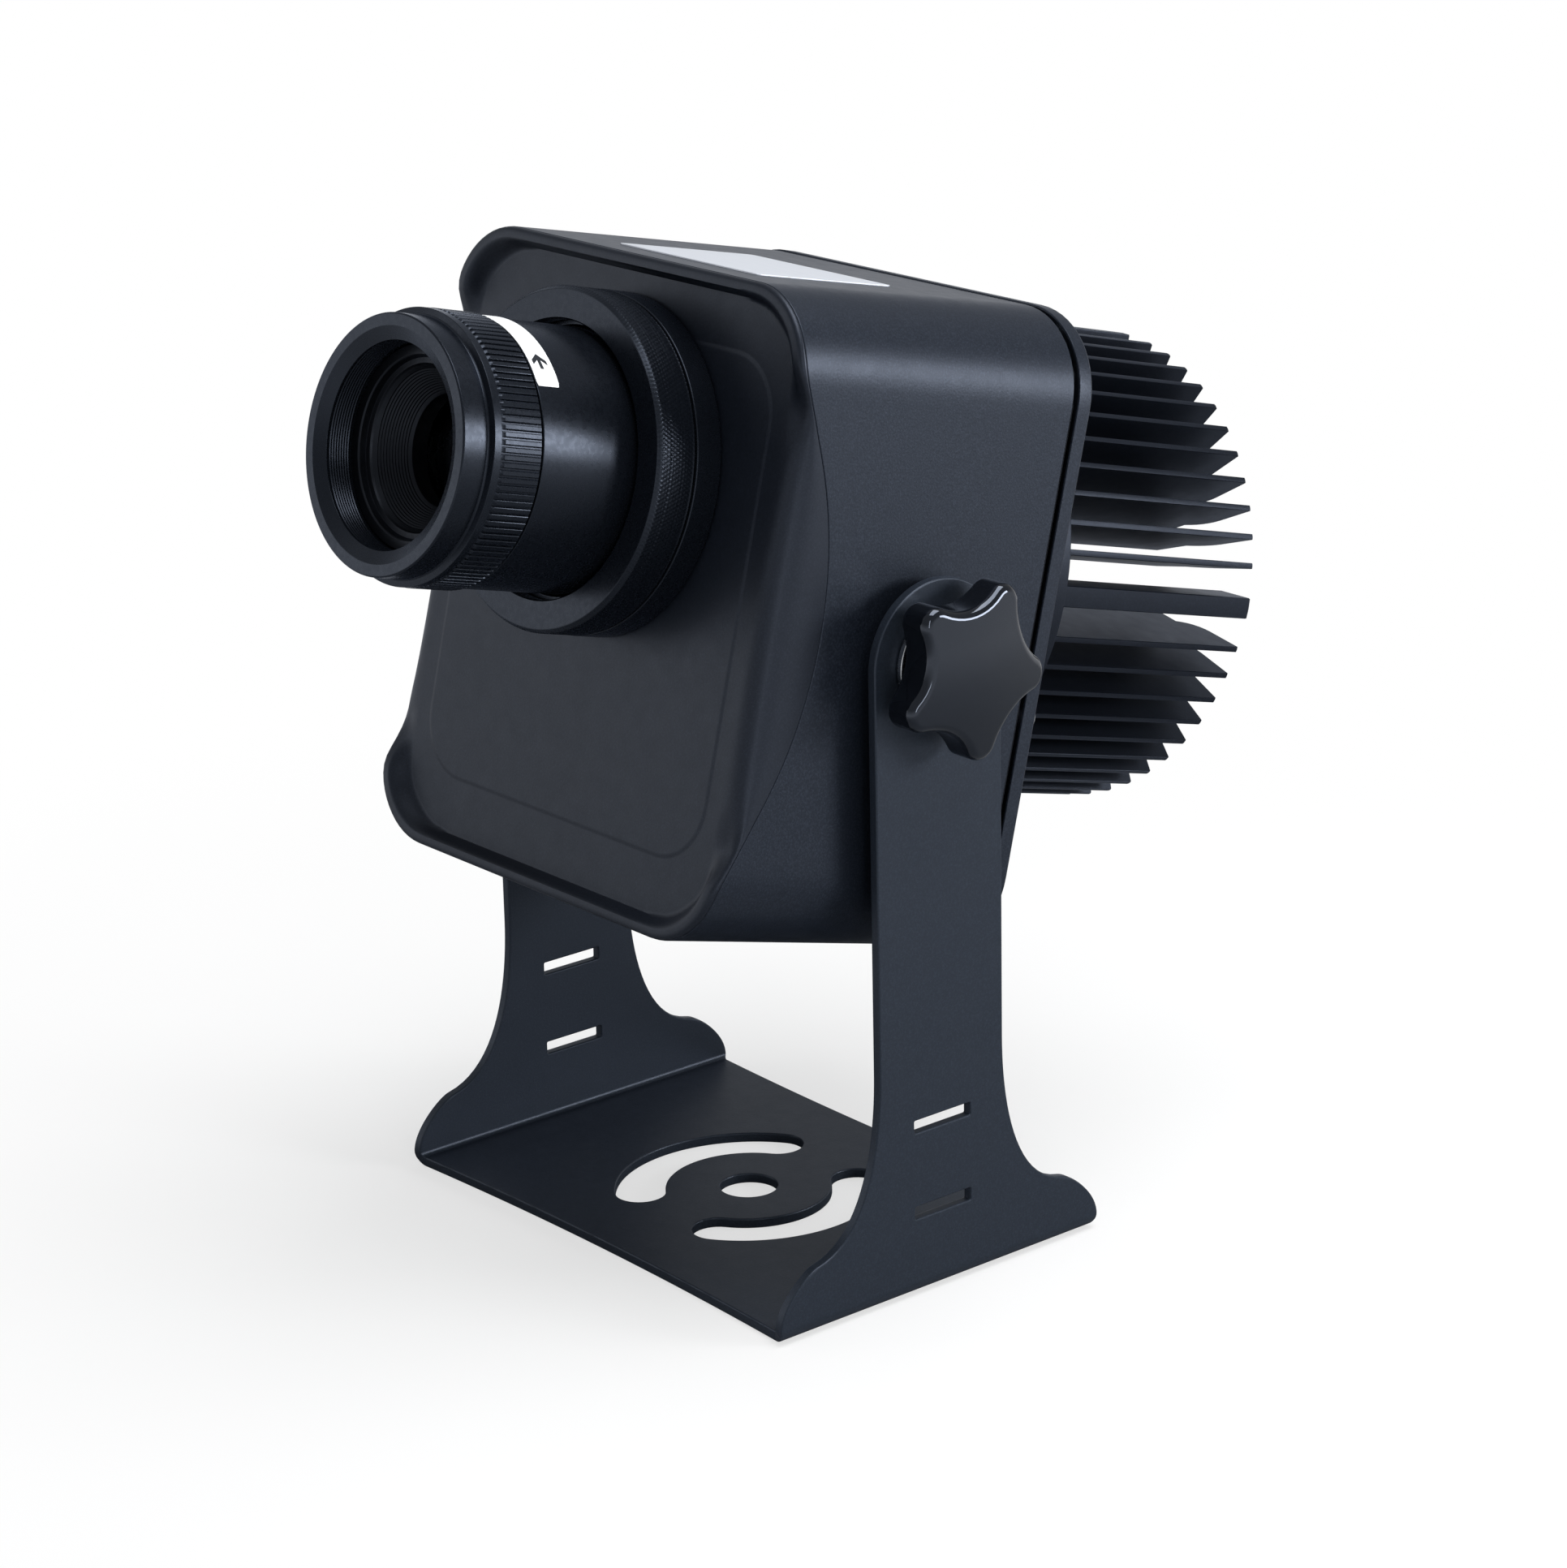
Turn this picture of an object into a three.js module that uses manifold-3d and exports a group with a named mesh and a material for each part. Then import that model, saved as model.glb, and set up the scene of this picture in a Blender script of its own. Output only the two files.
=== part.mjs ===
// Gobo projector: a tilting lamp head with a recessed lens and a finned heat sink, held in a
// sheet metal U-bracket by two star knobs. Millimetres, +Z up, the lens faces -Y.
// The origin is the middle of the lamp's length and width, level with the bracket's underside.
import * as THREE from "three";
import { mergeVertices } from "three/addons/utils/BufferGeometryUtils.js";
import Module from "manifold-3d";

const wasm = await Module();
wasm.setup();

// Fits shared by every piece
const fitGap = 0.3;
const cutOverrun = 2;
const weldDistance = 0.0001;
const quarterSteps = 4;
const labelSteps = 14;
const bowSides = 160;
const fineSides = 32;
const roundSides = 20;
const smallSides = 10;
const hexSides = 6;

// U-bracket
const footDepth = 95;
const sheet = 2.5;
const bendRadius = 1.2;
const legWidth = 37;
const pivotHeight = 149;
const flareHeight = 56;
const baseWaist = 2;
const legSlotLength = 16.8;
const legSlotHeight = 3;
const lowSlotHeight = 20.3;
const highSlotHeight = 41.3;
const baseHoleRadius = 6.9;
const arcSlotRadius = 26;
const arcSlotWidth = 12;
const arcSlotHalfAngle = THREE.MathUtils.degToRad(56);
const pivotHoleRadius = 4.5;
// outline of one flared foot, as shares of how far it reaches out and of how high it starts
const flareShares = [[1, 0], [1.15, 0.115], [0.77, 0.275], [0.654, 0.286], [0.11, 0.339], [0, 0.738], [0, 1]];

// Head: stations run forward from the tilt axis, heights up from it
const tiltAngle = THREE.MathUtils.degToRad(14);
const lensLift = 28;
const sinkLift = 14;
const shellFront = 46.5;
const shellRear = -33.6;
const frontHalfWidth = 62;
const frontTop = 75;
const frontBottom = -69.3;
const draftGrowth = 1.2;
const cornerRadius = 19;
const shellWall = 3;
const cavityHalfWidth = frontHalfWidth - shellWall;
const cavityTop = frontTop - shellWall;
const cavityBottom = frontBottom + shellWall;
const cavityCorner = cornerRadius - shellWall;
const scoopRadius = 93;
const scoopStation = 28.4;
const scoopLift = 2.6;
const insertRadius = 7;
const insertFlange = 9.5;
const insertFlangeThickness = 2;
const insertDepth = 6;

// Front bezel
const bezelFace = 42.5;
const bezelThickness = 3;
const bezelRoll = 7.5;
const bezelRollPower = 4;
const bezelInsetShares = [0, 1 / 7, 3 / 7, 1, 1.6];
const reachShare = 0.2;
const swellLow = 28;
const swellHigh = 50;
const swellInner = 50;
const swellOuter = 60;
const bezelHoleRadius = 33.8;
const padHalfWidth = 50.5;
const padTop = 59;
const padBottom = -52;
const padCorner = 14;
const padRise = 0.4;
const postRadius = 4;
const postX = 47;
const postTop = 58;
const postBottom = -52;
const tabFront = 20;
const tabThickness = 6;
const tabInset = 7;

// Rear cover, gasket and their screws
const gasketThickness = 1;
const gasketInset = 0.9;
const gasketWidth = 2;
const coverDepth = 5.3;
const coverPlate = 3;
const coverBevel = 1.6;
const coverProud = 0.4;
const coverWall = 3.4;
const cornerScrewX = 48;
const topScrewHeight = 71;
const bottomScrewHeight = -64.5;
const sideScrewX = 57;
const sideScrewHeight = -14;
const screwBossRadius = 4;
const screwBossLength = 14;
const screwRadius = 2;
const screwLength = 12;
const screwHeadRadius = 3.6;
const screwHeadHeight = 2.4;
const screwCrownShare = 0.7;

// Heat sink
const sinkRadius = 57;
const sinkDiscRadius = 59.5;
const sinkDiscThickness = 5.5;
const sinkLength = 69;
const sinkScrewShare = 0.7;
const finFootShare = 1 / 3;
const finInnerRadius = 31;
const finThickness = 1.4;
const recessRadius = 47;
const recessDepth = 6;
const bossFinWidth = 5;
const bossHoleRadius = 1.5;
const bossHoleDepth = 12;
const finsBetweenBosses = 11;
const bossPitch = THREE.MathUtils.degToRad(90);
const bossGap = THREE.MathUtils.degToRad(10.2);
const pedestalRadius = 21;
const pedestalLength = 18;
const sinkScrewCircle = 38;
const sinkScrewTurn = THREE.MathUtils.degToRad(45);

// Optical train, on the lens axis
const boardRadius = 17;
const boardThickness = 1.6;
const ledRadius = 8;
const ledThickness = 1.4;
const tubeWall = 2.7;
const tubeSeat = 8;
const tubeFront = 20;
const condenserRadius = 20.8;
const condenserEdge = 3;
const condenserCrown = 6;
const condenserFirst = -9;
const condenserSpacing = 14;
const condenserBore = 18;
const lensRim = 3;
const domeShares = [0.35, 0.7, 1];
const cupDepth = 8;
const holderRadius = 24;
const holderThickness = 4;
const goboRadius = 18.7;
const goboThickness = 1.1;
const goboWindow = 15;
const clipWidth = 1.6;
const clipThickness = 1;

// Lens
const baseRingRadius = 38.4;
const baseRingFront = 50;
const neckRadius = 33.4;
const neckRear = 36;
const noseRadius = 34;
const noseFront = 56;
const lockRingRadius = 38.3;
const lockRingFront = 60.6;
const lockRingChamfer = 1;
const lockRingLip = 3.4;
const lockRingBore = 30.9;
const barrelRadius = 29.5;
const barrelBore = 26;
const barrelRear = 37;
const barrelShoulder = 85;
const barrelNoseRadius = 28;
const barrelNoseFront = 93;
const rearSeat = 43;
const rearSeatLip = 3;
const rearLensEdge = 3;
const rearLensCrown = 4;
const retainerThickness = 2.5;
const retainerWidth = 2.6;
const focusRingRadius = 30.1;
const knurlFront = 96.5;
const hoodRadius = 28.3;
const hoodShoulder = 98.7;
const hoodFront = 105.3;
const hoodMouth = 25.5;
const hoodBore = 22.5;
const hoodBevel = 1.3;
const focusWeb = 3.2;
const cellRear = 62;
const cellWall = 3.2;
const cellLedge = 77.5;
const cellLedgeBore = 20;
const frontLensEdge = 3;
const frontLensCrown = 4;
const baffleFront = 97.2;
const baffleRear = 84;
const baffleStep = 1.6;
const baffleSteps = 3;
const baffleMouth = 19.8;
const baffleThroat = 12.3;
const baffleThroatStation = 88;
const labelThickness = 0.3;
const arrowLabelWidth = 6.3;
const arrowLabelStart = THREE.MathUtils.degToRad(38);
const arrowLabelSpan = THREE.MathUtils.degToRad(82);
const topLabelWidth = 49;
const topLabelLength = 40;
const topLabelStation = 13.6;
const topLabelShift = 3.5;

// Knobs and what they turn on
const studRadius = 4;
const studReach = 7;
const bushRadius = 12;
const bushLength = 4.2;
const washerRadius = 12.5;
const washerThickness = 1.5;
const hubRadius = 12;
const hubLength = 2;
const knobDepth = 10.5;
const knobBevel = 1.6;
const knobRadius = 20.5;
const knobTipRadius = 4.2;
const knobValleyRadius = 15.3;
const knobLobes = 5;
const knobTurn = THREE.MathUtils.degToRad(61);
const socketDepth = 9;

// Electronics and cable entry
const driverPlate = 2;
const driverPlateWidth = 78;
const driverPlateLength = 52;
const driverWidth = 66;
const driverLength = 44;
const driverHeight = 28;
const driverCorner = 3;
const blockWidth = 30;
const blockLength = 10;
const blockHeight = 12;
const glandX = -30;
const glandHeight = -54;
const glandThreadRadius = 8;
const glandBore = 4.5;
const glandHexRadius = 11;
const glandHexLength = 5;
const glandNutLength = 12;
const glandTaperShare = 0.7;
const lockNutRadius = 10.5;
const lockNutThickness = 3.2;

const blackPowder = new THREE.MeshStandardMaterial({ color: 0x202227, roughness: 0.55, metalness: 0.3 });
const blackAnodised = new THREE.MeshStandardMaterial({ color: 0x15161a, roughness: 0.35, metalness: 0.8 });
const glossPlastic = new THREE.MeshStandardMaterial({ color: 0x0c0d10, roughness: 0.12, metalness: 0 });
const steel = new THREE.MeshStandardMaterial({ color: 0xc4c7cb, roughness: 0.3, metalness: 1 });
const clearGlass = new THREE.MeshStandardMaterial({ color: 0xbfd0d8, roughness: 0.05, metalness: 0 });
const softRubber = new THREE.MeshStandardMaterial({ color: 0x111214, roughness: 0.8, metalness: 0 });
const labelPaper = new THREE.MeshStandardMaterial({ color: 0xe9ebec, roughness: 0.6, metalness: 0 });
const silverFoil = new THREE.MeshStandardMaterial({ color: 0xb9bec6, roughness: 0.4, metalness: 0.6 });
const bareAluminium = new THREE.MeshStandardMaterial({ color: 0xa9adb2, roughness: 0.4, metalness: 1 });
const brightBrass = new THREE.MeshStandardMaterial({ color: 0xb9954a, roughness: 0.35, metalness: 1 });
const whiteBoard = new THREE.MeshStandardMaterial({ color: 0xe6e6e0, roughness: 0.5, metalness: 0.1 });
const phosphor = new THREE.MeshStandardMaterial({ color: 0xe8c54a, roughness: 0.6, metalness: 0 });
const greenPlastic = new THREE.MeshStandardMaterial({ color: 0x2f6b44, roughness: 0.5, metalness: 0 });

// Closed triangle mesh to a solid for cutting and joining, its faces turned outwards
function solidOf(geometry) {
  const bare = geometry.clone();
  bare.deleteAttribute("normal");
  bare.deleteAttribute("uv");
  const merged = mergeVertices(bare, weldDistance);
  const vertProperties = new Float32Array(merged.attributes.position.array);
  const corners = Array.from(merged.index.array);
  const kept = [];
  for (let i = 0; i < corners.length; i += 3) {
    const [a, b, c] = corners.slice(i, i + 3);
    if (a !== b && b !== c && c !== a) kept.push(a, b, c);
  }
  const at = (i) => new THREE.Vector3().fromArray(vertProperties, 3 * i);
  let volume = 0;
  for (let i = 0; i < kept.length; i += 3) {
    volume += at(kept[i]).dot(at(kept[i + 1]).cross(at(kept[i + 2])));
  }
  if (volume < 0) kept.reverse();
  const triVerts = Uint32Array.from(kept);
  return new wasm.Manifold(new wasm.Mesh({ numProp: 3, vertProperties, triVerts }));
}

function geometryOf(solid) {
  const mesh = solid.getMesh();
  const geometry = new THREE.BufferGeometry();
  geometry.setAttribute("position", new THREE.BufferAttribute(new Float32Array(mesh.vertProperties), 3));
  geometry.setIndex(new THREE.BufferAttribute(new Uint32Array(mesh.triVerts), 1));
  return geometry;
}

function joined(first, ...others) {
  return others.reduce((whole, next) => whole.add(solidOf(next)), solidOf(first));
}

function cut(solid, ...tools) {
  return tools.reduce((whole, tool) => whole.subtract(solidOf(tool)), solid);
}

// Turned piece about the lens direction: the profile is [radius, station] pairs
function turned(profile, sides) {
  const points = profile.map(([radius, station]) => new THREE.Vector2(radius, station));
  if (profile[0][0] > 0) points.push(points[0].clone());
  const lathe = new THREE.LatheGeometry(points, sides);
  lathe.rotateX(Math.PI);
  return geometryOf(solidOf(lathe));
}

function tube(outer, inner, rear, front, sides = roundSides) {
  return turned([[inner, rear], [outer, rear], [outer, front], [inner, front]], sides);
}

// Round bar along the lens direction between two stations
function bar(radius, rear, front, sides = roundSides) {
  return turned([[0, rear], [radius, rear], [radius, front], [0, front]], sides);
}

// Round bar along X between two places
function crossBar(radius, from, to, sides = roundSides) {
  const geometry = new THREE.CylinderGeometry(radius, radius, to - from, sides);
  geometry.rotateZ(Math.PI / 2);
  return geometry.translate((from + to) / 2, 0, 0);
}

// Upright box between two corners
function block(x1, x2, y1, y2, z1, z2) {
  const geometry = new THREE.BoxGeometry(x2 - x1, y2 - y1, z2 - z1);
  return geometry.translate((x1 + x2) / 2, (y1 + y2) / 2, (z1 + z2) / 2);
}

// Rounded outline as [x, height] points
function roundedOutline(halfWidth, top, bottom, radius) {
  const centres = [[halfWidth - radius, top - radius, 0], [radius - halfWidth, top - radius, 1],
    [radius - halfWidth, bottom + radius, 2], [halfWidth - radius, bottom + radius, 3]];
  const points = [];
  for (const [x, height, quarter] of centres) {
    for (let i = 0; i <= quarterSteps; i += 1) {
      const angle = (quarter + i / quarterSteps) * Math.PI / 2;
      points.push([x + radius * Math.cos(angle), height + radius * Math.sin(angle)]);
    }
  }
  return points;
}

// Closed body through rings of [x, station, height] points, capped at both ends
function loft(rings) {
  const count = rings[0].length;
  const positions = [];
  const index = [];
  for (const ring of rings) {
    for (const [x, station, height] of ring) positions.push(x, -station, height);
  }
  for (let r = 0; r + 1 < rings.length; r += 1) {
    for (let i = 0; i < count; i += 1) {
      const a = r * count + i;
      const b = r * count + (i + 1) % count;
      index.push(a, b, a + count, b, b + count, a + count);
    }
  }
  for (const [r, flip] of [[0, true], [rings.length - 1, false]]) {
    const middle = positions.length / 3;
    const sum = [0, 0, 0];
    rings[r].forEach((point) => point.forEach((value, k) => { sum[k] += value / count; }));
    positions.push(sum[0], -sum[1], sum[2]);
    for (let i = 0; i < count; i += 1) {
      const pair = [r * count + i, r * count + (i + 1) % count];
      if (flip) pair.reverse();
      index.push(pair[0], pair[1], middle);
    }
  }
  const geometry = new THREE.BufferGeometry();
  geometry.setAttribute("position", new THREE.Float32BufferAttribute(positions, 3));
  geometry.setIndex(index);
  return geometry;
}

function ringAt(outline, station) {
  return outline.map(([x, height]) => [x, station, height]);
}

// How far the shell has grown at a station, from its draft
const draftAt = (station) => draftGrowth * (shellFront - station) / (shellFront - shellRear);

function shellOutline(station, inset) {
  const out = draftAt(station) - inset;
  return roundedOutline(frontHalfWidth + out, frontTop + out * 2, frontBottom - out, cornerRadius + out);
}

// The bracket is as wide as the head, a bush on either side and its own sheet
const shellHalfWidth = frontHalfWidth + draftAt(0);
const bushFrom = shellHalfWidth + fitGap;
const legOuter = bushFrom + bushLength + fitGap + sheet;
const bracketWidth = 2 * legOuter;

function piece(parent, name, geometry, material) {
  const mesh = new THREE.Mesh(geometry, material);
  mesh.name = name;
  parent.add(mesh);
  return mesh;
}

const projector = new THREE.Group();
const lamp = new THREE.Group();
projector.add(lamp);
const head = new THREE.Group();
head.position.z = pivotHeight;
head.rotation.x = -tiltAngle;
lamp.add(head);
const optics = new THREE.Group();
optics.position.z = lensLift;
head.add(optics);
const cooler = new THREE.Group();
cooler.position.z = sinkLift;
head.add(cooler);

// Outline of both legs and the foot, seen from the side, as one closed shape
function sideOutline() {
  const reach = (footDepth - legWidth) / 2;
  const half = legWidth / 2;
  const at = ([out, up], side) => [side * (half + out * reach), up * flareHeight];
  const shape = new THREE.Shape();
  shape.moveTo(...at(flareShares[0], -1));
  shape.lineTo(...at(flareShares[0], 1));
  shape.bezierCurveTo(...at(flareShares[1], 1), ...at(flareShares[2], 1), ...at(flareShares[3], 1));
  shape.bezierCurveTo(...at(flareShares[4], 1), ...at(flareShares[5], 1), ...at(flareShares[6], 1));
  shape.lineTo(half, pivotHeight);
  shape.absarc(0, pivotHeight, half, 0, Math.PI, false);
  shape.lineTo(...at(flareShares[6], -1));
  shape.bezierCurveTo(...at(flareShares[5], -1), ...at(flareShares[4], -1), ...at(flareShares[3], -1));
  shape.bezierCurveTo(...at(flareShares[2], -1), ...at(flareShares[1], -1), ...at(flareShares[0], -1));
  return shape;
}

// The bent sheet seen from the front
function bendOutline() {
  const half = bracketWidth / 2;
  const top = pivotHeight + legWidth;
  const outer = bendRadius + sheet;
  const shape = new THREE.Shape();
  shape.moveTo(-half, top);
  shape.lineTo(-half, outer);
  shape.absarc(outer - half, outer, outer, Math.PI, 1.5 * Math.PI, false);
  shape.absarc(half - outer, outer, outer, 1.5 * Math.PI, 2 * Math.PI, false);
  shape.lineTo(half, top);
  shape.lineTo(half - sheet, top);
  shape.lineTo(half - sheet, outer);
  shape.absarc(half - outer, outer, bendRadius, 2 * Math.PI, 1.5 * Math.PI, true);
  shape.absarc(outer - half, outer, bendRadius, 1.5 * Math.PI, Math.PI, true);
  shape.lineTo(sheet - half, top);
  return shape;
}

function arcSlot(middle) {
  const shape = new THREE.Shape();
  const inner = arcSlotRadius - arcSlotWidth / 2;
  const outer = arcSlotRadius + arcSlotWidth / 2;
  const start = middle - arcSlotHalfAngle;
  const end = middle + arcSlotHalfAngle;
  const capAt = (angle) => [arcSlotRadius * Math.cos(angle), arcSlotRadius * Math.sin(angle)];
  shape.absarc(0, 0, outer, start, end, false);
  shape.absarc(...capAt(end), arcSlotWidth / 2, end, end + Math.PI, false);
  shape.absarc(0, 0, inner, end, start, true);
  shape.absarc(...capAt(start), arcSlotWidth / 2, start + Math.PI, start + 2 * Math.PI, false);
  return shape;
}

function makeBracket() {
  const steps = { bevelEnabled: false, curveSegments: quarterSteps + 2 };
  const side = new THREE.ExtrudeGeometry(sideOutline(), { ...steps, depth: bracketWidth + 2 * cutOverrun });
  side.rotateY(Math.PI / 2);
  side.rotateX(Math.PI / 2);
  side.translate(-bracketWidth / 2 - cutOverrun, 0, 0);
  const bend = new THREE.ExtrudeGeometry(bendOutline(), { ...steps, depth: footDepth + 2 * cutOverrun });
  bend.rotateX(Math.PI / 2);
  bend.translate(0, footDepth / 2 + cutOverrun, 0);
  let solid = solidOf(bend).intersect(solidOf(side));
  const half = bracketWidth / 2;
  const bowRadius = (half * half + baseWaist * baseWaist) / (2 * baseWaist);
  for (const direction of [-1, 1]) {
    const bow = new THREE.CylinderGeometry(bowRadius, bowRadius, 2 * (sheet + cutOverrun), bowSides);
    bow.rotateX(Math.PI / 2);
    bow.translate(0, direction * (footDepth / 2 - baseWaist + bowRadius), 0);
    const flat = half - sheet - bendRadius;
    const keep = block(-flat, flat, -footDepth, footDepth, -sheet, 2 * sheet);
    solid = solid.subtract(solidOf(bow).intersect(solidOf(keep)));
    const slot = new THREE.ExtrudeGeometry(arcSlot(direction * Math.PI / 2 - Math.PI / 2),
      { ...steps, depth: sheet + 2 * cutOverrun });
    solid = cut(solid, slot.translate(0, 0, -cutOverrun));
  }
  for (const height of [lowSlotHeight, highSlotHeight]) {
    solid = cut(solid, block(-half - cutOverrun, half + cutOverrun, -legSlotLength / 2, legSlotLength / 2,
      height - legSlotHeight / 2, height + legSlotHeight / 2));
  }
  const hole = new THREE.CylinderGeometry(baseHoleRadius, baseHoleRadius, 2 * (sheet + cutOverrun),
    roundSides);
  const axle = crossBar(pivotHoleRadius, -half - cutOverrun, half + cutOverrun, smallSides);
  return geometryOf(cut(solid, hole.rotateX(Math.PI / 2), axle.translate(0, 0, pivotHeight)));
}
piece(lamp, "u_bracket", makeBracket(), blackPowder);

// Screw places on the rear cover, as [x, height]
const coverScrewPlaces = [-1, 1].flatMap((side) => [[side * cornerScrewX, topScrewHeight],
  [side * sideScrewX, sideScrewHeight], [side * cornerScrewX, bottomScrewHeight]]);
const postPlaces = [-1, 1].flatMap((side) => [[side * postX, postTop], [side * postX, postBottom]]);
const pilotRadius = screwRadius + fitGap;

function scoop(radius) {
  const bar = crossBar(radius, -bracketWidth, bracketWidth, fineSides * 2);
  return bar.translate(0, -(scoopStation + scoopRadius), scoopLift);
}

function shellBody(inset, rear, front) {
  return loft([ringAt(shellOutline(rear, inset), rear), ringAt(shellOutline(front, inset), front)]);
}

function cavityBody(growth, rear, front) {
  const outline = roundedOutline(cavityHalfWidth + growth, cavityTop + growth, cavityBottom - growth,
    cavityCorner + growth);
  return loft([ringAt(outline, rear), ringAt(outline, front)]);
}

function makeShell() {
  const outer = solidOf(shellBody(0, shellRear, shellFront));
  const hollow = solidOf(cavityBody(0, shellRear - cutOverrun, shellFront + cutOverrun));
  const inside = [];
  for (const [x, height] of coverScrewPlaces) {
    const boss = bar(screwBossRadius, shellRear, shellRear + screwBossLength, smallSides);
    inside.push(boss.translate(x, 0, height));
  }
  for (const [x, height] of postPlaces) {
    const side = Math.sign(x);
    const upper = height > 0 ? cavityTop : height + tabInset;
    const lower = height > 0 ? height - tabInset : cavityBottom;
    const xs = [side * (cavityHalfWidth + fitGap), x - side * tabInset].sort((a, b) => a - b);
    inside.push(block(...xs, -tabFront, tabThickness - tabFront, lower - fitGap, upper + fitGap));
  }
  let solid = outer.subtract(hollow).add(joined(...inside).intersect(outer));
  for (const [x, height] of coverScrewPlaces) {
    const pilot = bar(pilotRadius, shellRear - cutOverrun, shellRear + screwLength, smallSides);
    solid = cut(solid, pilot.translate(x, 0, height));
  }
  for (const [x, height] of postPlaces) {
    const pilot = bar(pilotRadius, tabFront - tabThickness - cutOverrun, tabFront + cutOverrun, smallSides);
    solid = cut(solid, pilot.translate(x, 0, height));
  }
  const insertHole = insertRadius + fitGap;
  return geometryOf(cut(solid, scoop(scoopRadius), crossBar(insertHole, -bracketWidth, bracketWidth)));
}
piece(head, "housing_shell", makeShell(), blackPowder);

// Station of the scooped side edge at a height
const scoopEdge = (height) => {
  const rise = Math.min(Math.abs(height - scoopLift), scoopRadius);
  return scoopStation + scoopRadius - Math.sqrt(scoopRadius * scoopRadius - rise * rise);
};

// Where the bezel reaches out over the shell's edge: 0 inside the shell, 1 out to its full width
const reachOver = (height) => {
  const end = Math.sqrt(scoopRadius ** 2 - (scoopRadius + scoopStation - shellFront) ** 2);
  return THREE.MathUtils.smoothstep(end - Math.abs(height - scoopLift), 0, end * reachShare);
};

// How far the panel rises towards the shell's lip, which it meets at the corners
const swellAt = (x, height) => (shellFront - bezelFace)
  * THREE.MathUtils.smoothstep(Math.abs(height - scoopLift), swellLow, swellHigh)
  * THREE.MathUtils.smoothstep(Math.abs(x), swellInner, swellOuter);

function makeBezel() {
  const inner = cavityHalfWidth - fitGap;
  const grown = shellHalfWidth - fitGap - inner;
  const surface = (inset, drop, narrow) => {
    const outline = roundedOutline(inner - inset, cavityTop - fitGap - inset, cavityBottom + fitGap + inset,
      Math.max(cavityCorner - inset, padCorner / 2));
    const rows = [];
    for (let i = 0; i < outline.length; i += 1) {
      const [x1, h1] = outline[i];
      const [x2, h2] = outline[(i + 1) % outline.length];
      const parts = Math.abs(h2 - h1) > cornerRadius ? quarterSteps * quarterSteps : 1;
      for (let k = 0; k < parts; k += 1) {
        rows.push([x1 + (x2 - x1) * k / parts, h1 + (h2 - h1) * k / parts]);
      }
    }
    return rows.map(([x, height]) => {
      const wide = x * (1 + reachOver(height) * grown / inner);
      const edge = inner + grown * reachOver(height);
      const t = Math.max(0, (Math.abs(wide) - (edge - bezelRoll)) / bezelRoll);
      const roll = 1 - (1 - Math.min(t, 1) ** bezelRollPower) ** (1 / bezelRollPower);
      const face = bezelFace + swellAt(wide, height);
      const depth = Math.max(0, face - scoopEdge(height) - fitGap);
      return [wide * (1 - narrow), face - depth * roll - drop, height];
    });
  };
  const insets = bezelInsetShares.map((share) => share * bezelRoll);
  const front = insets.map((inset) => surface(inset, 0, 0));
  const back = insets.map((inset) => surface(inset, bezelThickness, bezelThickness / inner)).reverse();
  const panel = solidOf(loft([...back, ...front]));
  const pad = loft([ringAt(roundedOutline(padHalfWidth, padTop, padBottom, padCorner), bezelFace - padRise),
    ringAt(roundedOutline(padHalfWidth - padRise, padTop - padRise, padBottom + padRise, padCorner - padRise),
      bezelFace + padRise)]);
  let solid = panel.add(solidOf(pad));
  for (const [x, height] of postPlaces) {
    const rear = tabFront + fitGap;
    const post = bar(postRadius, rear, bezelFace - bezelThickness / 2, smallSides).translate(x, 0, height);
    const pilot = bar(pilotRadius, rear - cutOverrun, rear + screwLength, smallSides).translate(x, 0, height);
    solid = cut(solid.add(solidOf(post)), pilot);
  }
  const wall = solidOf(shellBody(-cutOverrun, shellRear, shellFront + cutOverrun))
    .subtract(solidOf(cavityBody(-fitGap, shellRear - cutOverrun, shellFront + 2 * cutOverrun)))
    .subtract(solidOf(scoop(scoopRadius - fitGap)));
  const bore = bar(bezelHoleRadius, 0, shellFront, fineSides).translate(0, 0, lensLift);
  return geometryOf(cut(solid.subtract(wall), bore));
}
piece(head, "front_bezel", makeBezel(), blackPowder);

// Pan head screw whose head bears at a station and whose shank runs forward
function screw(bearing) {
  const back = bearing - fitGap;
  return turned([[0, back - screwHeadHeight], [screwHeadRadius * screwCrownShare, back - screwHeadHeight],
    [screwHeadRadius, back - screwHeadHeight / 2], [screwHeadRadius, back], [screwRadius, back],
    [screwRadius, back + screwLength], [0, back + screwLength]], smallSides);
}
postPlaces.forEach(([x, height], i) => {
  const mesh = piece(head, `bezel_screw_${i + 1}`, screw(tabFront - tabThickness), steel);
  mesh.position.set(x, 0, height);
});

const gasketFront = shellRear - fitGap;
const coverFront = gasketFront - gasketThickness - fitGap;
const coverRear = coverFront - coverDepth;

function makeGasket() {
  const rear = gasketFront - gasketThickness;
  const outer = roundedOutline(...outlineArgs(gasketInset));
  const inner = roundedOutline(...outlineArgs(gasketInset + gasketWidth));
  const body = solidOf(loft([ringAt(outer, rear), ringAt(outer, gasketFront)]));
  const hole = loft([ringAt(inner, rear - cutOverrun), ringAt(inner, gasketFront + cutOverrun)]);
  let solid = cut(body, hole);
  for (const [x, height] of coverScrewPlaces) {
    const clear = bar(pilotRadius, rear - cutOverrun, gasketFront + cutOverrun, smallSides);
    solid = cut(solid, clear.translate(x, 0, height));
  }
  return geometryOf(solid);
}

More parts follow.
